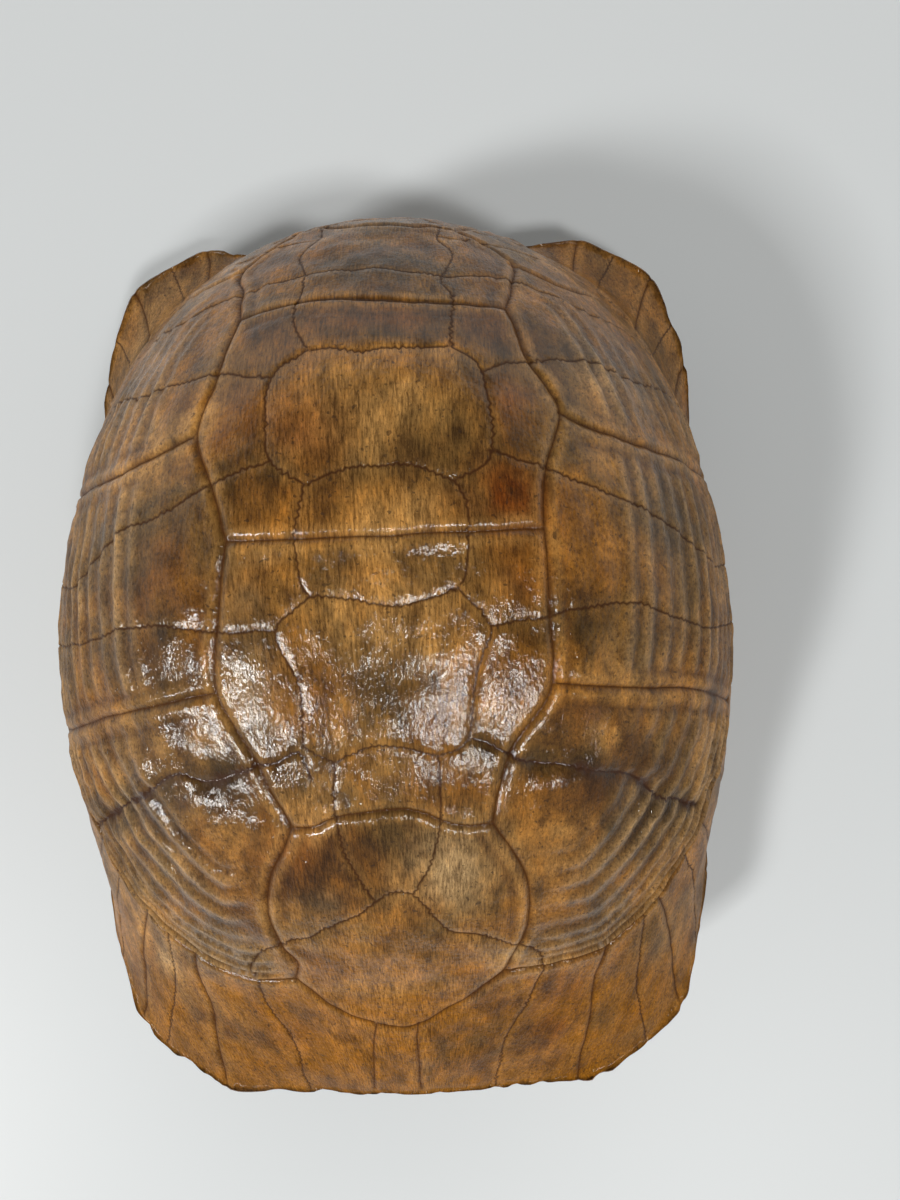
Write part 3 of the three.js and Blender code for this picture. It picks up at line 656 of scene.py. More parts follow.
def pleural_share(pattern):
    """1 inside the pleural scutes, fading out towards the vertebrals, and 0 elsewhere."""
    left = pattern[:, 0] < 0
    middle = np.where(left, vertebral_edge(pattern[:, 1], "left"), vertebral_edge(pattern[:, 1], "right"))
    clear = smoothstep(np.abs(pattern[:, 0]) - middle, 2, 13)
    return clear * (past_pleurals(pattern) < 0)


def marginal_share(pattern):
    """0 within the pleurals and vertebrals, rising to 1 over the marginals."""
    return smoothstep(past_pleurals(pattern), 0, 4)


class Surface:
    """What the outer face's relief and colour are worked out from."""

    def __init__(self, pattern):
        self.pattern = pattern
        self.smooth = on_dome(pattern)
        self.normal = normals_of(pattern)
        self.seam = distance_to(self.smooth, seam_lines.values())
        self.suture = distance_to(self.smooth, suture_lines.values())
        self.crack = distance_to(self.smooth, crack_lines.values())
        self.edge = distance_to(self.smooth, pleural_edges)
        self.side_line = distance_to(self.smooth, side_lines)
        self.pleural = pleural_share(pattern)
        self.marginal = marginal_share(pattern)
        self.between = distance_to(self.smooth, pleural_seams)
        self.ridge, self.furrow = self.growth()

    def growth(self):
        """How high the growth ridge stands here, and how deep the furrow at its outer foot, each 0 to 1."""
        place = self.edge + 0.5 * lattice_noise(self.smooth, 24, 31) * smoothstep(self.edge, 2, 9)
        heights = np.random.default_rng(5).uniform(0.6, 1.0, len(GROWTH_RIDGES))
        ridge = 0
        furrow = 0
        for at, height in zip(GROWTH_RIDGES, heights):
            half = min(0.6 + 0.06 * at, RIDGE_HALF)
            ridge = ridge + height * groove(place - at, half)
            furrow = furrow + height * groove(place - at + 1.5 * half, 0.8 * half)
        reach = 36 + 12 * smoothstep(self.pattern[:, 1], -30, -10)
        faint = 1 - smoothstep(self.edge - reach, 0, 9)
        patchy = 0.8 + 0.35 * lattice_noise(self.smooth, 20, 33)
        behind = 1 - 0.5 * smoothstep(self.pattern[:, 1], 50, 85)
        clear = 0.2 + 0.8 * smoothstep(self.between, 2.5, 6)
        strength = self.pleural * faint * patchy * behind * clear
        return ridge * strength, furrow * strength

    def relief(self):
        lumps = LUMP_HEIGHT * layered_noise(self.smooth, 11, 41)
        lumps = lumps + SMALL_LUMP_HEIGHT * layered_noise(self.smooth, 4.2, 51, 2)
        near_crack = groove(self.crack, 9) * smoothstep(self.pleural, 0, 0.4)
        lumps = lumps * (1 + 1.5 * near_crack)
        hollow = -CRACK_HOLLOW * groove(self.crack, 3.2) * near_crack
        seam = -SEAM_DEPTH * (1 - 0.4 * self.marginal) * groove(self.seam, SEAM_HALF - 0.14 * self.marginal)
        shoulder = SHOULDER_HEIGHT * (1 - 0.8 * self.marginal) * groove(self.seam - 1.9, 0.9)
        suture = -SUTURE_DEPTH * groove(self.suture, SUTURE_HALF)
        crack = -CRACK_DEPTH * groove(self.crack, CRACK_HALF)
        side = -SIDE_LINE_DEPTH * groove(self.side_line, SIDE_LINE_HALF)
        growth = RIDGE_HEIGHT * self.ridge - FURROW_DEPTH * self.furrow
        return lumps + hollow + seam + shoulder + suture + crack + side + growth

    def colour(self):
        """Colour before the fine grain, which the material adds."""
        broad = layered_noise(self.smooth, 26, 61)
        middling = layered_noise(self.smooth, 9, 71)
        fine = layered_noise(self.smooth, 3.6, 81, 2)
        tone = np.tile(BROWN, (len(self.smooth), 1))

        def towards(colour, share):
            return tone + (np.array(colour) - tone) * np.clip(share, 0, 1)[:, None]

        tone = towards(GOLD, 0.66 + 0.55 * broad + 0.35 * middling)
        tone = towards(TAN, smoothstep(middling - 0.5 * broad, -0.15, 0.85) * 0.65)
        dull = layered_noise(self.smooth, 17, 66)
        tone = towards(DULL, smoothstep(dull, -0.3, 0.8) * 0.75)
        ragged = 1 + 0.55 * middling + 0.4 * fine
        for (across, back), (half_across, half_back), patch_colour, strength in STAINS_AND_HIGHLIGHTS:
            reach = ((self.pattern[:, 0] - across) / half_across) ** 2
            reach += ((self.pattern[:, 1] - back) / half_back) ** 2
            tone = towards(patch_colour, strength * np.exp(-reach * 0.8) * ragged)
        patchy = smoothstep(middling + 0.6 * fine + broad, -0.5, 0.8)
        for name, half, strength in STAINED_SUTURES:
            away = distance_to(self.smooth, [suture_lines.get(name, crack_lines.get(name))])
            tone = towards(OLIVE, strength * groove(away, half) * (0.35 + 0.65 * patchy))
        calm = 1 - 0.6 * smoothstep(-self.pattern[:, 1], 70, 90)
        tone = towards(OLIVE, smoothstep(fine + 0.7 * middling, 0.3, 1.3) * 0.42 * calm)
        tone = towards(BROWN, smoothstep(fine - 0.5 * middling, 0.2, 1.1) * 0.45 * calm)
        # Painted shade in the growth furrows and a painted highlight on the ridges' crests, over their real
        # relief.
        tone = towards(DARK, 0.75 * self.furrow)
        tone = towards(CREST_HIGHLIGHT, 0.85 * np.clip(self.ridge, 0, 1) ** 1.5)
        tone = towards(TAN, 0.4 * groove(self.seam - 1.7, 0.7))
        tone = towards(TAN, 0.3 * groove(self.suture - 0.9, 0.5))
        tone = towards(BROWN, 0.7 * groove(self.side_line, 0.8))
        below = 1 - smoothstep(self.smooth[:, 2], 40, 75)
        tone = towards(GOLD, 0.35 * below * (0.6 + 0.5 * middling))
        tone = towards(GREY, 0.12 * below * (0.7 + 0.5 * broad))
        front = self.marginal * smoothstep(-self.pattern[:, 1], 92, 106)
        tone = towards(HONEY, front * (0.5 + 0.55 * middling))
        drawn_out = np.stack([self.pattern[:, 0], self.pattern[:, 1] * 0.4, self.pattern[:, 0] * 0], axis=1)
        streaks = layered_noise(drawn_out, 3.4, 86)
        return tone * VARNISH * (1 + 0.32 * streaks * (0.5 + 0.5 * calm))[:, None]


def part_of(line, low, high):
    steps = np.arange(len(line)) / (len(line) - 1)
    return line[(steps >= low) & (steps <= high)]


side_lines = [
    sideways(part_of(seam_lines[name], low, high), distance) for name, distance, low, high in SIDE_LINES
]


# --- building a mesh ------------------------------------------------------------------------------
class Shell:
    """Points and faces of one closed mesh, gathered layer by layer."""

    def __init__(self):
        self.layers = []
        self.faces = []
        self.bare = []

    def add(self, places, pattern, tone, marks):
        """Adds a layer of points with what the bone materials read. Gives the points' numbers."""
        start = sum(len(layer[0]) for layer in self.layers)
        self.layers.append((places, pattern, tone, marks))
        return list(range(start, start + len(places)))

    def cover(self, faces, bare=False):
        """Adds faces, with the second material where they are bare."""
        self.faces += faces
        self.bare += [bare] * len(faces)

    def join(self, first, second):
        """Quads between two closed rows of point numbers."""
        self.cover(list(zip(first, first[1:] + first[:1], second[1:] + second[:1], second)))

    def mesh(self, name, materials):
        """The finished mesh, in metres."""
        places, pattern, tone, marks = (np.concatenate(parts) for parts in zip(*self.layers))
        mesh = bpy.data.meshes.new(name)
        mesh.from_pydata((places * MM).tolist(), [], facing_out(places, self.faces))
        mesh.polygons.foreach_set("material_index", np.array(self.bare, np.int32))
        ones = np.ones((len(places), 1))
        for label, kind, field, values in (
            ("tone", "FLOAT_COLOR", "color", np.concatenate([tone, ones], axis=1)),
            ("marks", "FLOAT_COLOR", "color", np.concatenate([marks, ones], axis=1)),
            ("pattern", "FLOAT_VECTOR", "vector", pattern),
        ):
            layer = mesh.attributes.new(label, kind, "POINT")
            layer.data.foreach_set(field, values.astype(np.float32).ravel())
        mesh.validate()
        mesh.shade_smooth()
        for material in materials:
            mesh.materials.append(material)
        thing = bpy.data.objects.new(name, mesh)
        bpy.context.collection.objects.link(thing)
        return thing


def facing_out(places, faces):
    """The faces as they are, or all turned over where they enclose a negative volume."""
    volume = 0.0
    for face in faces:
        a, b, c = (places[k] for k in face[:3])
        volume += np.dot(a, np.cross(b, c))
        if len(face) == 4:
            volume += np.dot(a, np.cross(c, places[face[3]]))
    return faces if volume > 0 else [tuple(reversed(face)) for face in faces]


def at_height(flat, height):
    """Flat points with a third number, which sets the grain of one face apart from another's."""
    return np.concatenate([flat, np.full((len(flat), 1), float(height))], axis=1)


def evenly_thinned(count):
    """Marks without seams or sutures, with the varnish as thin as at the rim."""
    return np.tile([0, 0, EDGE_THINNING], (count, 1))


LIP_STEPS = 5
LIP_UNEVENNESS = 0.12
LIP_SHADE = 0.92
JUST_INSIDE_RIM = 0.985
INNER_GAP = 3.4
INNER_CLEAR = 1.8
INNER_FROM_RIM = 0.975
INNER_UNEVENNESS = 0.25
INNER_SHADE = 0.75
# Half-widths of the coloured seams, sutures and cracks, and how much wider a crack gapes in places.
SEAM_MARK_HALF = 0.4
SUTURE_MARK_HALF = 0.22
CRACK_GAPE = 0.4
# How much of the varnish is missing at the rim, in seams and in sutures, and over what half-widths.
EDGE_THINNING = 0.65
SEAM_THINNING = 0.9
SEAM_THIN_HALF = 0.55
SUTURE_THINNING = 0.8
SUTURE_THIN_HALF = 0.35
# Where the grain of the inside is taken from, apart from the outside's.
INSIDE_GRAIN = 40


def varnish_lost(surface):
    """How much of the varnish's gloss is missing: towards the rim, and in the seams and sutures."""
    across = np.abs(surface.pattern[:, 0])
    back = surface.pattern[:, 1]
    ends = np.maximum(smoothstep(-back, 92, 112), 0.5 * smoothstep(back, 58, 80))
    edge = EDGE_THINNING * np.maximum(smoothstep(across, 58, 80), ends)
    seam = SEAM_THINNING * groove(surface.seam, SEAM_THIN_HALF)
    suture = SUTURE_THINNING * groove(surface.suture, SUTURE_THIN_HALF)
    return np.clip(np.maximum(edge, np.maximum(seam, suture)), 0, 1)


def carapace_marks(surface):
    """The materials' marks: seams, sutures with cracks, and varnish lost."""
    gaping = smoothstep(layered_noise(surface.smooth, 7, 55), -0.5, 0.7)
    seam = groove(surface.seam, SEAM_MARK_HALF)
    suture = groove(surface.suture, SUTURE_MARK_HALF)
    crack = 1.6 * groove(surface.crack, SUTURE_MARK_HALF + CRACK_GAPE * gaping)
    return np.stack([seam, np.maximum(suture, crack), varnish_lost(surface)], axis=1)


def add_lip(shell, outer, rim, pattern, tone, edge):
    """Rounds the rim from the outer face's edge towards the inner face's. Gives the last row's numbers."""
    ring = len(rim)
    normal = outer.normal[:ring]
    outwards = unit(outer.smooth[:ring] - on_dome(rim_points * JUST_INSIDE_RIM))
    for step in range(1, LIP_STEPS):
        turn = math.pi * step / LIP_STEPS
        drop = RIM_WALL * (1 - math.cos(turn)) / 2
        row = rim - normal * drop + outwards * LIP_BULGE * math.sin(turn)
        row += normal * (LIP_UNEVENNESS * lattice_noise(row, 3, 91))[:, None]
        shifted = pattern[:ring] * (1 + 0.004 * step)
        numbers = shell.add(row, shifted, tone[:ring] * LIP_SHADE, evenly_thinned(ring))
        shell.join(edge, numbers)
        edge = numbers
    return edge


def add_inner_face(shell, inner_edge, edge):
    """The carapace's inner face, from its finished edge to under the crown."""
    ring = len(inner_edge)
    within = Points()
    within.add(rim_points, 0)
    within.add(inside_rim(hex_grid(INNER_GAP), INNER_FROM_RIM), INNER_CLEAR)
    flat, faces = flat_mesh(within.kept, ring)
    smooth = on_dome(flat)
    near_rim = smoothstep(polar(flat)[2], 0.9, 1)
    wall = CARAPACE_WALL + (RIM_WALL - CARAPACE_WALL) * near_rim
    uneven = INNER_UNEVENNESS * layered_noise(smooth, 12, 101) * (1 - near_rim)
    inner = smooth - normals_of(flat) * (wall + uneven)[:, None]
    inner[:ring] = inner_edge
    stained = np.clip(0.5 + 0.5 * layered_noise(smooth, 20, 111), 0, 1)[:, None]
    tone = np.array(TAN) * INNER_SHADE * stained + np.array(BROWN) * (1 - stained)
    numbers = shell.add(inner, at_height(flat, INSIDE_GRAIN), tone, evenly_thinned(len(inner)))
    shell.join(edge, numbers[:ring])
    start = numbers[0]
    shell.cover([(start + c, start + b, start + a) for a, b, c in faces.tolist()], bare=True)


def build_carapace(materials):
    ring = len(rim_points)
    flat, faces = flat_mesh(points.kept, ring, edges)
    outer = Surface(flat)
    places = outer.smooth + outer.normal * outer.relief()[:, None]
    rim = places[:ring]
    pattern = at_height(flat, 0)
    tone = outer.colour()
    shell = Shell()
    numbers = shell.add(places, pattern, tone, carapace_marks(outer))
    shell.cover(faces.tolist())
    edge = add_lip(shell, outer, rim, pattern, tone, numbers[:ring])
    add_inner_face(shell, rim - outer.normal[:ring] * RIM_WALL, edge)
    return shell.mesh("carapace", materials)


# --- the plastron and its bridges -----------------------------------------------------------------
# They are one curled plate, drawn flat as (across, along): across runs out over the flat plastron and then
# up the bridge to the rim, and along is the real place from head to tail.
PLASTRON_THICKNESS = 5
BRIDGE_WALL = 5.5
BRIDGE_LENGTH = 42
BRIDGE_REACH = 28
BRIDGE_SHORTENING = 0.12
BRIDGE_FRONT = -44
# The plate's right edge from the throat to the tail, before the bridges: half-width and place along.
LOBE_FRONT = [(0, -107), (9, -107), (16, -104), (25, -96), (35, -84), (42, -72), (46, -63), (50, -57)]
LOBE_REAR = [(50, 57), (46, 63), (43.5, 74), (37, 86), (28, 94), (20, 98.5), (14, 98.5), (7, 92), (0, 86)]
# The bridge's front and rear edges: share of the way up it, and place along.
BRIDGE_FRONT_EDGE = [(0, -49.5), (0.25, -45.5), (0.5, -44.5), (0.75, -48), (0.9, -53), (1, -58)]
BRIDGE_REAR_EDGE = [(1, 59), (0.9, 54), (0.75, 49), (0.5, 45.5), (0.25, 46.5), (0, 50.5)]
# How far the plate rises towards its ends: place along, and height.
PLATE_RISE = [
    (-107, 7), (-104, 6), (-96, 4), (-84, 1.8), (-72, 0.5), (-63, 0),
    (64, 0), (74, 0.3), (86, 1.2), (95, 2.2), (99, 3),
]
PLATE_LIFT = 0.3
PLATE_GAP = 1.9
PLATE_EDGE_GAP = 1.5
PLATE_LINE_CLEAR = 0.9
PLATE_FIELD_CLEAR = 1.15
PLATE_SEAM_DEPTH = 0.55
PLATE_SEAM_HALF = 0.95
PLATE_SUTURE_DEPTH = 0.15
PLATE_SUTURE_HALF = 0.7
PLATE_LUMP_HEIGHT = 0.3
PLATE_EDGE_BULGE = 0.5
# How much thinner the plate gets on each face at its edge, and how far in that starts.
PLATE_EDGE_EASING = 1.3
PLATE_EASING_REACH = 2.2
# Where the plate's thickness changes to the bridge's, across.
BRIDGE_STARTS = 60
# How far forward and back the bridges' ends still follow the rim.
BRIDGE_ENDS = (-66, 67)
# At which t of the dome the bridge's top edge meets it, and one further up that gives its slope there.
BRIDGE_TOP_T = 0.972
ABOVE_TOP_T = 0.93
RIGHT_SIDE = np.linspace(0.25, math.pi - 0.25, 400)
# Where the grain of the plate's two faces is taken from.
PLATE_GRAIN = 80
PLATE_INSIDE_GRAIN = 100


def right_side_at(along, t):
    """The dome's right side in x and z, at this t and at each place along."""
    side = outer_point(RIGHT_SIDE, t)
    return np.stack([np.interp(along, side[:, 1], side[:, k]) for k in (0, 2)], axis=1)


def bridge_curve(along):
    """Control points, in x and z, of the bridge's curl at each place along."""
    y = np.clip(along, *BRIDGE_ENDS)
    top = right_side_at(y, BRIDGE_TOP_T)
    down = unit(top - right_side_at(y, ABOVE_TOP_T))
    reach = BRIDGE_REACH * (1 - BRIDGE_SHORTENING * (y / BRIDGE_FRONT) ** 2)
    foot = np.stack([top[:, 0] - reach, np.zeros(len(y))], axis=1)
    proud = np.stack([-0.7 - 1.1 * smoothstep(np.abs(y), 40, 58), np.full(len(y), 0.8)], axis=1)
    lower = foot + np.stack([reach * 0.55, 0 * reach], axis=1)
    return top + proud, top + proud + down * 12, lower, foot


def on_plate(flat):
    """From the drawn plate to points of its lower face."""
    across = np.abs(flat[:, 0])
    along = flat[:, 1]
    top, upper, lower, foot = bridge_curve(along)
    f = 1 - np.clip((across - foot[:, 0]) / BRIDGE_LENGTH, 0, 1)[:, None]
    curl = top * (1 - f) ** 3 + 3 * upper * f * (1 - f) ** 2 + 3 * lower * f**2 * (1 - f) + foot * f**3
    x = np.where(across > foot[:, 0], curl[:, 0], across)
    z = np.where(across > foot[:, 0], curl[:, 1], 0)
    rise = np.interp(along, *np.array(PLATE_RISE, float).T)
    return np.stack([x * np.sign(flat[:, 0]), along + CENTRING, z + rise + PLATE_LIFT], axis=1)


def plate_normals(flat):
    """Unit directions straight down and out from the plate's lower face."""
    step = 0.5
    shift_x = np.array([step, 0])
    shift_y = np.array([0, step])
    side = np.where(flat[:, :1] < 0, -1.0, 1.0)
    right = np.abs(flat) * [1, 0] + flat * [0, 1]
    right[:, 0] = np.maximum(right[:, 0], 0.6)
    across = on_plate(right + shift_x) - on_plate(right - shift_x)
    along = on_plate(right + shift_y) - on_plate(right - shift_y)
    return unit(np.cross(along, across)) * np.concatenate([side, np.ones((len(flat), 2))], axis=1)


def bridge_edge(edge, foot_along):
    """A bridge's front or rear edge in (across, along), and how far across its top lies."""
    foot = bridge_curve(np.array([foot_along]))[3][0, 0]
    return [(foot + BRIDGE_LENGTH * f, y) for f, y in edge], foot + BRIDGE_LENGTH


def plate_outline():
    """The plate's closed outline, counter-clockwise in (across, along)."""
    front_edge, far = bridge_edge(BRIDGE_FRONT_EDGE, BRIDGE_FRONT_EDGE[0][1])
    rear_edge, _ = bridge_edge(BRIDGE_REAR_EDGE, BRIDGE_REAR_EDGE[-1][1])
    front = along_line(LOBE_FRONT + front_edge, PLATE_EDGE_GAP)
    rear = along_line(rear_edge + LOBE_REAR, PLATE_EDGE_GAP)
    top = along_line([tuple(front[-1]), (far, 0), tuple(rear[0])], PLATE_EDGE_GAP)
    right = np.concatenate([front, top[1:-1], rear])
    left = right[1:-1][::-1] * [-1, 1]
    return np.concatenate([right, left])


def within_outline(flat, outline):
    """Which points lie inside a closed outline."""
    x, y = flat[:, :1], flat[:, 1:]
    ahead = np.roll(outline, -1, axis=0)
    spans = (outline[:, 1] > y) != (ahead[:, 1] > y)
    rise = np.where(ahead[:, 1] == outline[:, 1], 1, ahead[:, 1] - outline[:, 1])
    crossing = outline[:, 0] + (y - outline[:, 1]) / rise * (ahead[:, 0] - outline[:, 0])
    return np.sum(spans & (crossing > x), axis=1) % 2 == 1


PLATE_MIDDLE_SEAM = [(0, -107), (0.4, -60), (-0.3, 0), (0.4, 50), (0, 87)]
PLATE_SEAMS_RIGHT = {
    "gular": [(0, -93), (10, -92), (20, -96), (26, -101)],
    "humeral_pectoral": [(0, -69), (16, -68), (32, -64), (44, -60), (52, -57)],
    "pectoral_abdominal": [(0, -47), (20, -47), (40, -46), (60, -45), (76, -45)],
    "abdominal_femoral": [(0, 23), (20, 23), (38, 27), (52, 38), (60, 50)],
    "femoral_anal": [(0, 59), (14, 61), (28, 66), (42, 76)],
    "bridge_marginals": [(70, -53), (82, -42), (86, -20), (86, 0), (85, 20), (81, 42), (70, 54)],
    "marginals_5_6": [(86, -18), (100, -19)],
    "marginals_6_7": [(86, 3), (100, 2)],
    "marginals_7_8": [(85, 24), (99, 25)],
    "marginals_4_5": [(84, -38), (98, -42)],
    "marginals_8_9": [(82, 40), (96, 45)],
}
PLATE_SUTURES_RIGHT = {
    "entoplastron": [(0, -86), (9, -82), (13, -74), (9, -66), (0, -61)],
    "epiplastron": [(12, -78), (26, -78), (41, -74)],
    "hyoplastron_hypoplastron": [(0, 2), (20, 1), (40, 3), (60, 1), (84, 2)],
    "hypoplastron_xiphiplastron": [(0, 51), (14, 50), (28, 54), (46, 57)],
}


def plate_lines():
    """The plate's seams and its sutures, on both sides."""
    seams = [along_line(PLATE_MIDDLE_SEAM, 1.6)]
    sutures = []
    for group, kept in ((PLATE_SEAMS_RIGHT, seams), (PLATE_SUTURES_RIGHT, sutures)):
        for line in group.values():
            right = along_line(line, 1.5)
            kept += [right, right * [-1, 1]]
    return seams, sutures


def plate_tone(lower, seam):
    middling = layered_noise(lower, 8, 151)
    golden = np.clip(0.6 + 0.5 * layered_noise(lower, 24, 141) + 0.4 * middling, 0, 1)[:, None]
    tone = np.array(BROWN) * (1 - golden) + np.array(GOLD) * golden
    pale = np.clip(0.35 * groove(seam - 2, 1) + 0.3 * smoothstep(middling, 0, 1), 0, 1)[:, None]
    return tone + (np.array(TAN) - tone) * pale


def build_plastron(materials):
    outline = plate_outline()
    ring = len(outline)
    seams, sutures = plate_lines()
    plate = Points()
    plate.add(outline, 0)
    for line in [*seams, *sutures]:
        plate.add(line, PLATE_LINE_CLEAR)
    filling = hex_grid(PLATE_GAP)
    plate.add(filling[within_outline(filling, outline)], PLATE_FIELD_CLEAR)
    flat, faces = flat_mesh(plate.kept, ring)

    def away_from(lines):
        return distance_to(at_height(flat, 0), lines, lambda line: at_height(line, 0))

    lower = on_plate(flat)
    normal = plate_normals(flat)
    eased = 1 - smoothstep(away_from([np.concatenate([outline, outline[:1]])]), 0, PLATE_EASING_REACH)
    eased = PLATE_EDGE_EASING * eased
    seam = away_from(seams)
    suture = away_from(sutures)
    rest = smoothstep(np.abs(flat[:, 0]), 55, 66) + smoothstep(lower[:, 2], 0.2, 1.5)
    relief = PLATE_LUMP_HEIGHT * layered_noise(lower, 12, 121) * np.clip(rest, 0, 1)
    relief = relief - PLATE_SEAM_DEPTH * groove(seam, PLATE_SEAM_HALF)
    relief = relief - PLATE_SUTURE_DEPTH * groove(suture, PLATE_SUTURE_HALF) - eased
    thickness = np.where(np.abs(flat[:, 0]) > BRIDGE_STARTS, BRIDGE_WALL, PLASTRON_THICKNESS)
    uneven = INNER_UNEVENNESS * layered_noise(lower, 12, 131)
    middle = lower[:ring] - normal[:ring] * (thickness[:ring] / 2)[:, None]
    ahead = flat[:ring] - np.roll(flat[:ring], 3, axis=0)
    middle[:, :2] += unit(np.stack([ahead[:, 1], -ahead[:, 0]], axis=1)) * PLATE_EDGE_BULGE

    tone = plate_tone(lower, seam)
    plain_marks = evenly_thinned(len(flat))
    marks = np.stack([groove(seam, 0.9), groove(suture, 0.6), plain_marks[:, 2]], axis=1)
    grain = at_height(flat, PLATE_GRAIN)
    shell = Shell()
    outer = shell.add(lower + normal * relief[:, None], grain, tone, marks)
    inner_places = lower - normal * (thickness - eased + uneven)[:, None]
    inner = shell.add(inner_places, at_height(flat, PLATE_INSIDE_GRAIN), tone * 0.9, plain_marks)
    between = shell.add(middle, grain[:ring], tone[:ring], plain_marks[:ring])
    start = inner[0]
    shell.cover([(start + c, start + b, start + a) for a, b, c in faces.tolist()], bare=True)
    shell.cover(faces.tolist())
    shell.join(outer[:ring], between)
    shell.join(between, inner[:ring])
    return shell.mesh("plastron_and_bridges", materials)


# --- the varnished bone ---------------------------------------------------------------------------
class Nodes:
    """Short names for making and joining shader nodes."""

    def __init__(self, material):
        self.tree = material.node_tree
        self.tree.nodes.clear()

    def make(self, kind, **settings):
        node = self.tree.nodes.new(kind)
        for key, value in settings.items():
            setattr(node, key, value)
        return node

    def join(self, source, target):
        self.tree.links.new(source, target)

    def math(self, operation, a, b=None, clamp=False):
        node = self.make("ShaderNodeMath", operation=operation, use_clamp=clamp)
        for socket, value in zip(node.inputs, (a, b)):
            if isinstance(value, (int, float)):
                socket.default_value = value
            elif value is not None:
                self.join(value, socket)
        return node.outputs[0]

    def mix(self, share, a, b, blend="MIX"):
        node = self.make("ShaderNodeMix", data_type="RGBA", blend_type=blend, clamp_factor=True)
        for name, value in (("Factor_Float", share), ("A_Color", a), ("B_Color", b)):
            socket = next(s for s in node.inputs if s.identifier == name)
            if isinstance(value, (int, float)):
                socket.default_value = value
            elif isinstance(value, tuple):
                socket.default_value = (*value, 1)
            else:
                self.join(value, socket)
        return next(s for s in node.outputs if s.identifier == "Result_Color")

    def times(self, colour, factors):
        """The colour multiplied by three factors."""
        return self.mix(1.0, colour, factors, "MULTIPLY")

    def grain(self, pattern, fineness, detail, roughness):
        """Noise over the pattern, this fine across and back: larger numbers give smaller spots."""
        return self.noise(self.stretched(pattern, (*fineness, 1)), 1.0, detail, roughness)

    def noise(self, vector, scale, detail, roughness):
        node = self.make("ShaderNodeTexNoise")
        node.inputs["Scale"].default_value = scale
        node.inputs["Detail"].default_value = detail
        node.inputs["Roughness"].default_value = roughness
        self.join(vector, node.inputs["Vector"])
        return node.outputs["Fac"]

    def stretched(self, vector, factors):
        node = self.make("ShaderNodeMapping", vector_type="POINT")
        node.inputs["Scale"].default_value = factors
        self.join(vector, node.inputs["Vector"])
        return node.outputs[0]

    def ramp(self, value, low, high, to_low=0.0, to_high=1.0):
        node = self.make("ShaderNodeMapRange", interpolation_type="SMOOTHSTEP")
        names = ("From Min", "From Max", "To Min", "To Max")
        for name, number in zip(names, (low, high, to_low, to_high)):
            node.inputs[name].default_value = number
        self.join(value, node.inputs["Value"])
        return node.outputs[0]

    def bump(self, height, distance, below=None):
        node = self.make("ShaderNodeBump")
        node.inputs["Distance"].default_value = distance
        self.join(height, node.inputs["Height"])
        if below is not None:
            self.join(below, node.inputs["Normal"])
        return node.outputs[0]


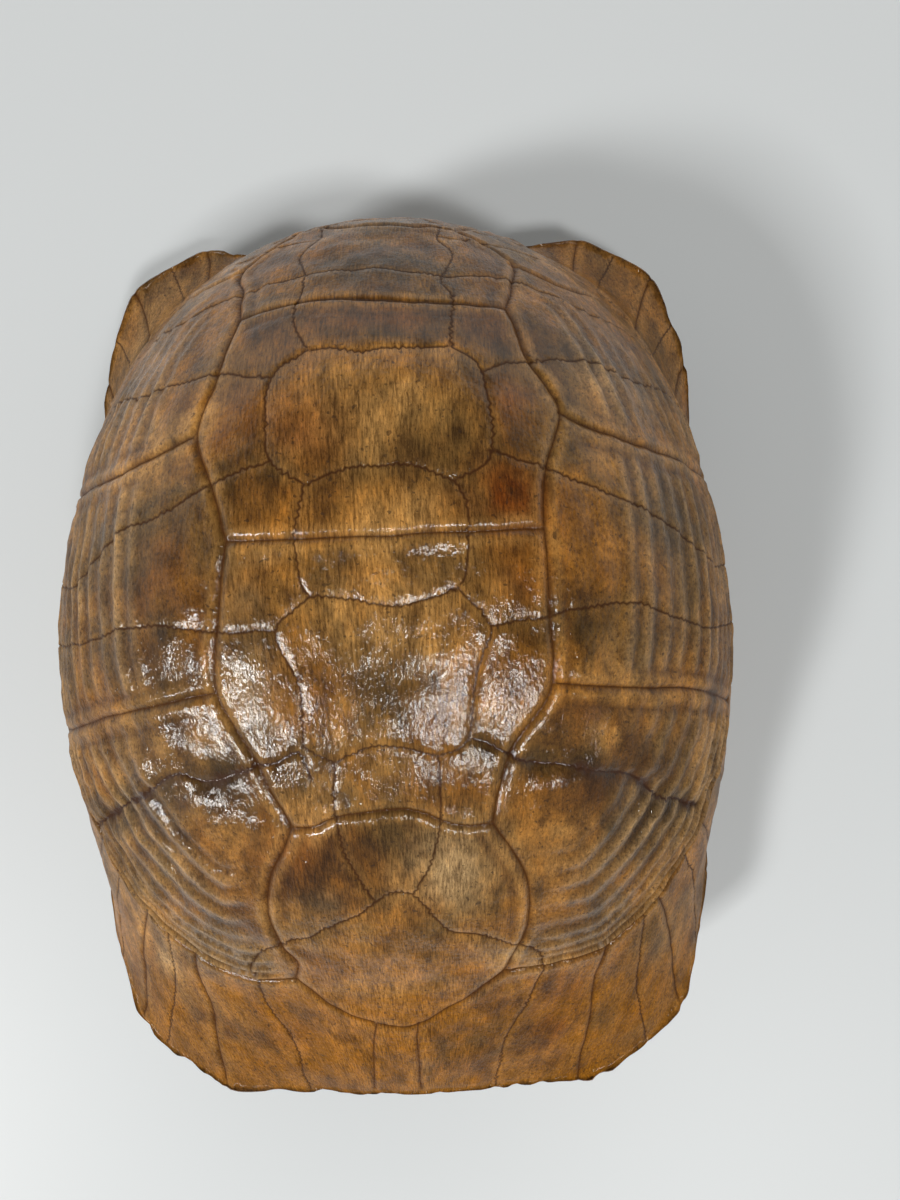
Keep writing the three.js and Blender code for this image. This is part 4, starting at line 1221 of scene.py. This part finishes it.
def bone(name, coat, roughness):
    """Mottled bone with fibres along the middle and speckles at the sides, under a coat of varnish."""
    material = bpy.data.materials.new(name)
    material.use_nodes = True
    n = Nodes(material)
    tone = n.make("ShaderNodeAttribute", attribute_name="tone").outputs["Color"]
    marks = n.make("ShaderNodeAttribute", attribute_name="marks").outputs["Color"]
    pattern = n.make("ShaderNodeAttribute", attribute_name="pattern").outputs["Vector"]
    split = n.make("ShaderNodeSeparateColor")
    n.join(marks, split.inputs[0])
    seam, suture, lost = split.outputs
    place = n.make("ShaderNodeTexCoord").outputs["Object"]

    fibres = n.grain(pattern, (1.8, 0.26), 5.0, 0.68)
    apart = n.make("ShaderNodeSeparateXYZ")
    n.join(pattern, apart.inputs[0])
    aside = n.ramp(n.math("ABSOLUTE", apart.outputs[0]), 22, 42, 0.0, 0.75)
    speckle = n.grain(pattern, (1.0, 0.8), 6.0, 0.72)
    fibres = n.math("MULTIPLY", fibres, n.math("SUBTRACT", 1.0, aside))
    fibres = n.math("ADD", fibres, n.math("MULTIPLY", speckle, aside))
    flecks = n.grain(pattern, (2.6, 1.0), 3.0, 0.65)
    mottle = n.grain(pattern, (0.2, 0.1), 5.0, 0.65)
    mottle = n.math("ADD", mottle, n.math("MULTIPLY", n.math("SUBTRACT", fibres, 0.5), 0.55))
    pores = n.noise(place, 900, 1.0, 0.4)

    colour = n.mix(n.ramp(fibres, 0.48, 0.64, 0.0, 0.6), tone, n.times(tone, (0.42, 0.37, 0.3)))
    colour = n.mix(n.ramp(fibres, 0.5, 0.36, 0.0, 0.65), colour, n.times(tone, (1.5, 1.48, 1.5)))
    colour = n.mix(n.ramp(mottle, 0.47, 0.68, 0.0, 0.62), colour, n.times(colour, (0.4, 0.36, 0.32)))
    colour = n.mix(n.ramp(mottle, 0.48, 0.36, 0.0, 0.5), colour, n.times(colour, (1.4, 1.3, 1.1)))
    colour = n.mix(n.ramp(flecks, 0.54, 0.66, 0.0, 0.7), colour, n.times(colour, (0.4, 0.32, 0.25)))
    colour = n.mix(n.ramp(pores, 0.68, 0.74, 0.0, 0.6), colour, (0.03, 0.016, 0.008))
    colour = n.mix(n.math("MULTIPLY", n.math("POWER", seam, 1.2), 0.95), colour, (0.058, 0.019, 0.004))
    colour = n.mix(n.math("MULTIPLY", suture, 0.95, True), colour, (0.045, 0.016, 0.005))

    shader = n.make("ShaderNodeBsdfPrincipled")
    n.join(colour, shader.inputs["Base Color"])
    shader.inputs["Roughness"].default_value = roughness
    shader.inputs["IOR"].default_value = 1.5
    shader.inputs["Specular IOR Level"].default_value = 0.05
    n.join(n.math("MULTIPLY", n.math("SUBTRACT", 1.0, lost, True), coat), shader.inputs["Coat Weight"])
    shader.inputs["Coat Roughness"].default_value = 0.04
    shader.inputs["Coat IOR"].default_value = 1.5

    pebbles = n.grain(pattern, (1.05, 0.7), 3.0, 0.55)
    rough = n.bump(pebbles, 0.00045)
    n.join(n.bump(fibres, 0.0001, rough), shader.inputs["Normal"])
    smooth = n.bump(pebbles, 0.00018)
    n.join(n.bump(flecks, 0.00004, smooth), shader.inputs["Coat Normal"])
    output = n.make("ShaderNodeOutputMaterial")
    n.join(shader.outputs[0], output.inputs["Surface"])
    return material


# --- table, lights and camera ---------------------------------------------------------------------
TABLE_HALF = 3.0
TABLE_COLOUR = (0.635, 0.67, 0.693, 1)
ROOM_COLOUR = (1.0, 0.97, 0.92, 1)
LAMP_COLOUR = (1.0, 0.98, 0.95)
LAMPS_AIM = (0, 0, 0.08)
# Place in metres, side of the square panel, and watts.
LAMPS = {
    "left_window": ((-1.52, -1.25, 1.75), 0.4, 42),
    "front_panel": ((0.54, -1.25, 2.19), 0.34, 29),
}


def table():
    mesh = bpy.data.meshes.new("floor")
    corners = [(-1, -1), (1, -1), (1, 1), (-1, 1)]
    mesh.from_pydata([(x * TABLE_HALF, y * TABLE_HALF, 0) for x, y in corners], [], [(0, 1, 2, 3)])
    paint = bpy.data.materials.new("pale_table")
    paint.use_nodes = True
    shader = paint.node_tree.nodes["Principled BSDF"]
    shader.inputs["Base Color"].default_value = TABLE_COLOUR
    shader.inputs["Roughness"].default_value = 0.5
    mesh.materials.append(paint)
    floor = bpy.data.objects.new("floor", mesh)
    bpy.context.collection.objects.link(floor)


def lights():
    for name, (place, side, power) in LAMPS.items():
        data = bpy.data.lights.new(name, "AREA")
        data.shape = "RECTANGLE"
        data.size = side
        data.size_y = side
        data.energy = power
        data.color = LAMP_COLOUR
        lamp = bpy.data.objects.new(name, data)
        lamp.location = place
        lamp.rotation_euler = (Vector(LAMPS_AIM) - Vector(place)).to_track_quat("-Z", "Y").to_euler()
        bpy.context.collection.objects.link(lamp)
    world = bpy.data.worlds.new("soft_room")
    world.use_nodes = True
    n = Nodes(world)
    direction = n.make("ShaderNodeTexCoord").outputs["Generated"]
    split = n.make("ShaderNodeSeparateXYZ")
    n.join(direction, split.inputs[0])
    background = n.make("ShaderNodeBackground")
    background.inputs["Color"].default_value = ROOM_COLOUR
    # The room is light round the table, most of all behind it, and dim overhead.
    round_table = n.ramp(split.outputs[2], 0.35, 0.8, 0.62, 0.05)
    behind = n.ramp(split.outputs[1], -1.0, 1.0, 0.4, 2.0)
    n.join(n.math("MULTIPLY", round_table, behind), background.inputs["Strength"])
    output = n.make("ShaderNodeOutputWorld")
    n.join(background.outputs[0], output.inputs["Surface"])
    bpy.context.scene.world = world


IMAGE_HEIGHT = 1200
FOCAL_LENGTH = 866
SENSOR = 36
CAMERA_PLACE = (14.78, 18.33 + CENTRING, 279.56)
CAMERA_PITCH = -0.564
CAMERA_YAW = 0.14
CAMERA_ROLL = -1.68


def camera():
    data = bpy.data.cameras.new("camera")
    data.sensor_fit = "VERTICAL"
    data.sensor_height = SENSOR
    data.lens = FOCAL_LENGTH / IMAGE_HEIGHT * SENSOR
    data.clip_start = 0.01
    eye = bpy.data.objects.new("camera", data)
    eye.location = Vector(CAMERA_PLACE) * MM
    turn = Matrix.Rotation(math.radians(CAMERA_ROLL), 3, "Z")
    turn @= Matrix.Rotation(math.radians(CAMERA_PITCH), 3, "X")
    turn @= Matrix.Rotation(math.radians(CAMERA_YAW), 3, "Y")
    eye.rotation_euler = turn.to_euler()
    bpy.context.collection.objects.link(eye)
    bpy.context.scene.camera = eye


# The varnished outside and the dull inside: how much coat each has, and how rough the bone is.
bones = [bone("varnished_bone", 0.75, 0.5), bone("bare_bone_inside", 0.04, 0.7)]
for piece in (build_carapace(bones), build_plastron(bones)):
    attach(piece, "root")
    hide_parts("tortoise_shell")
table()
lights()
camera()
bpy.context.scene.view_settings.view_transform = "Standard"
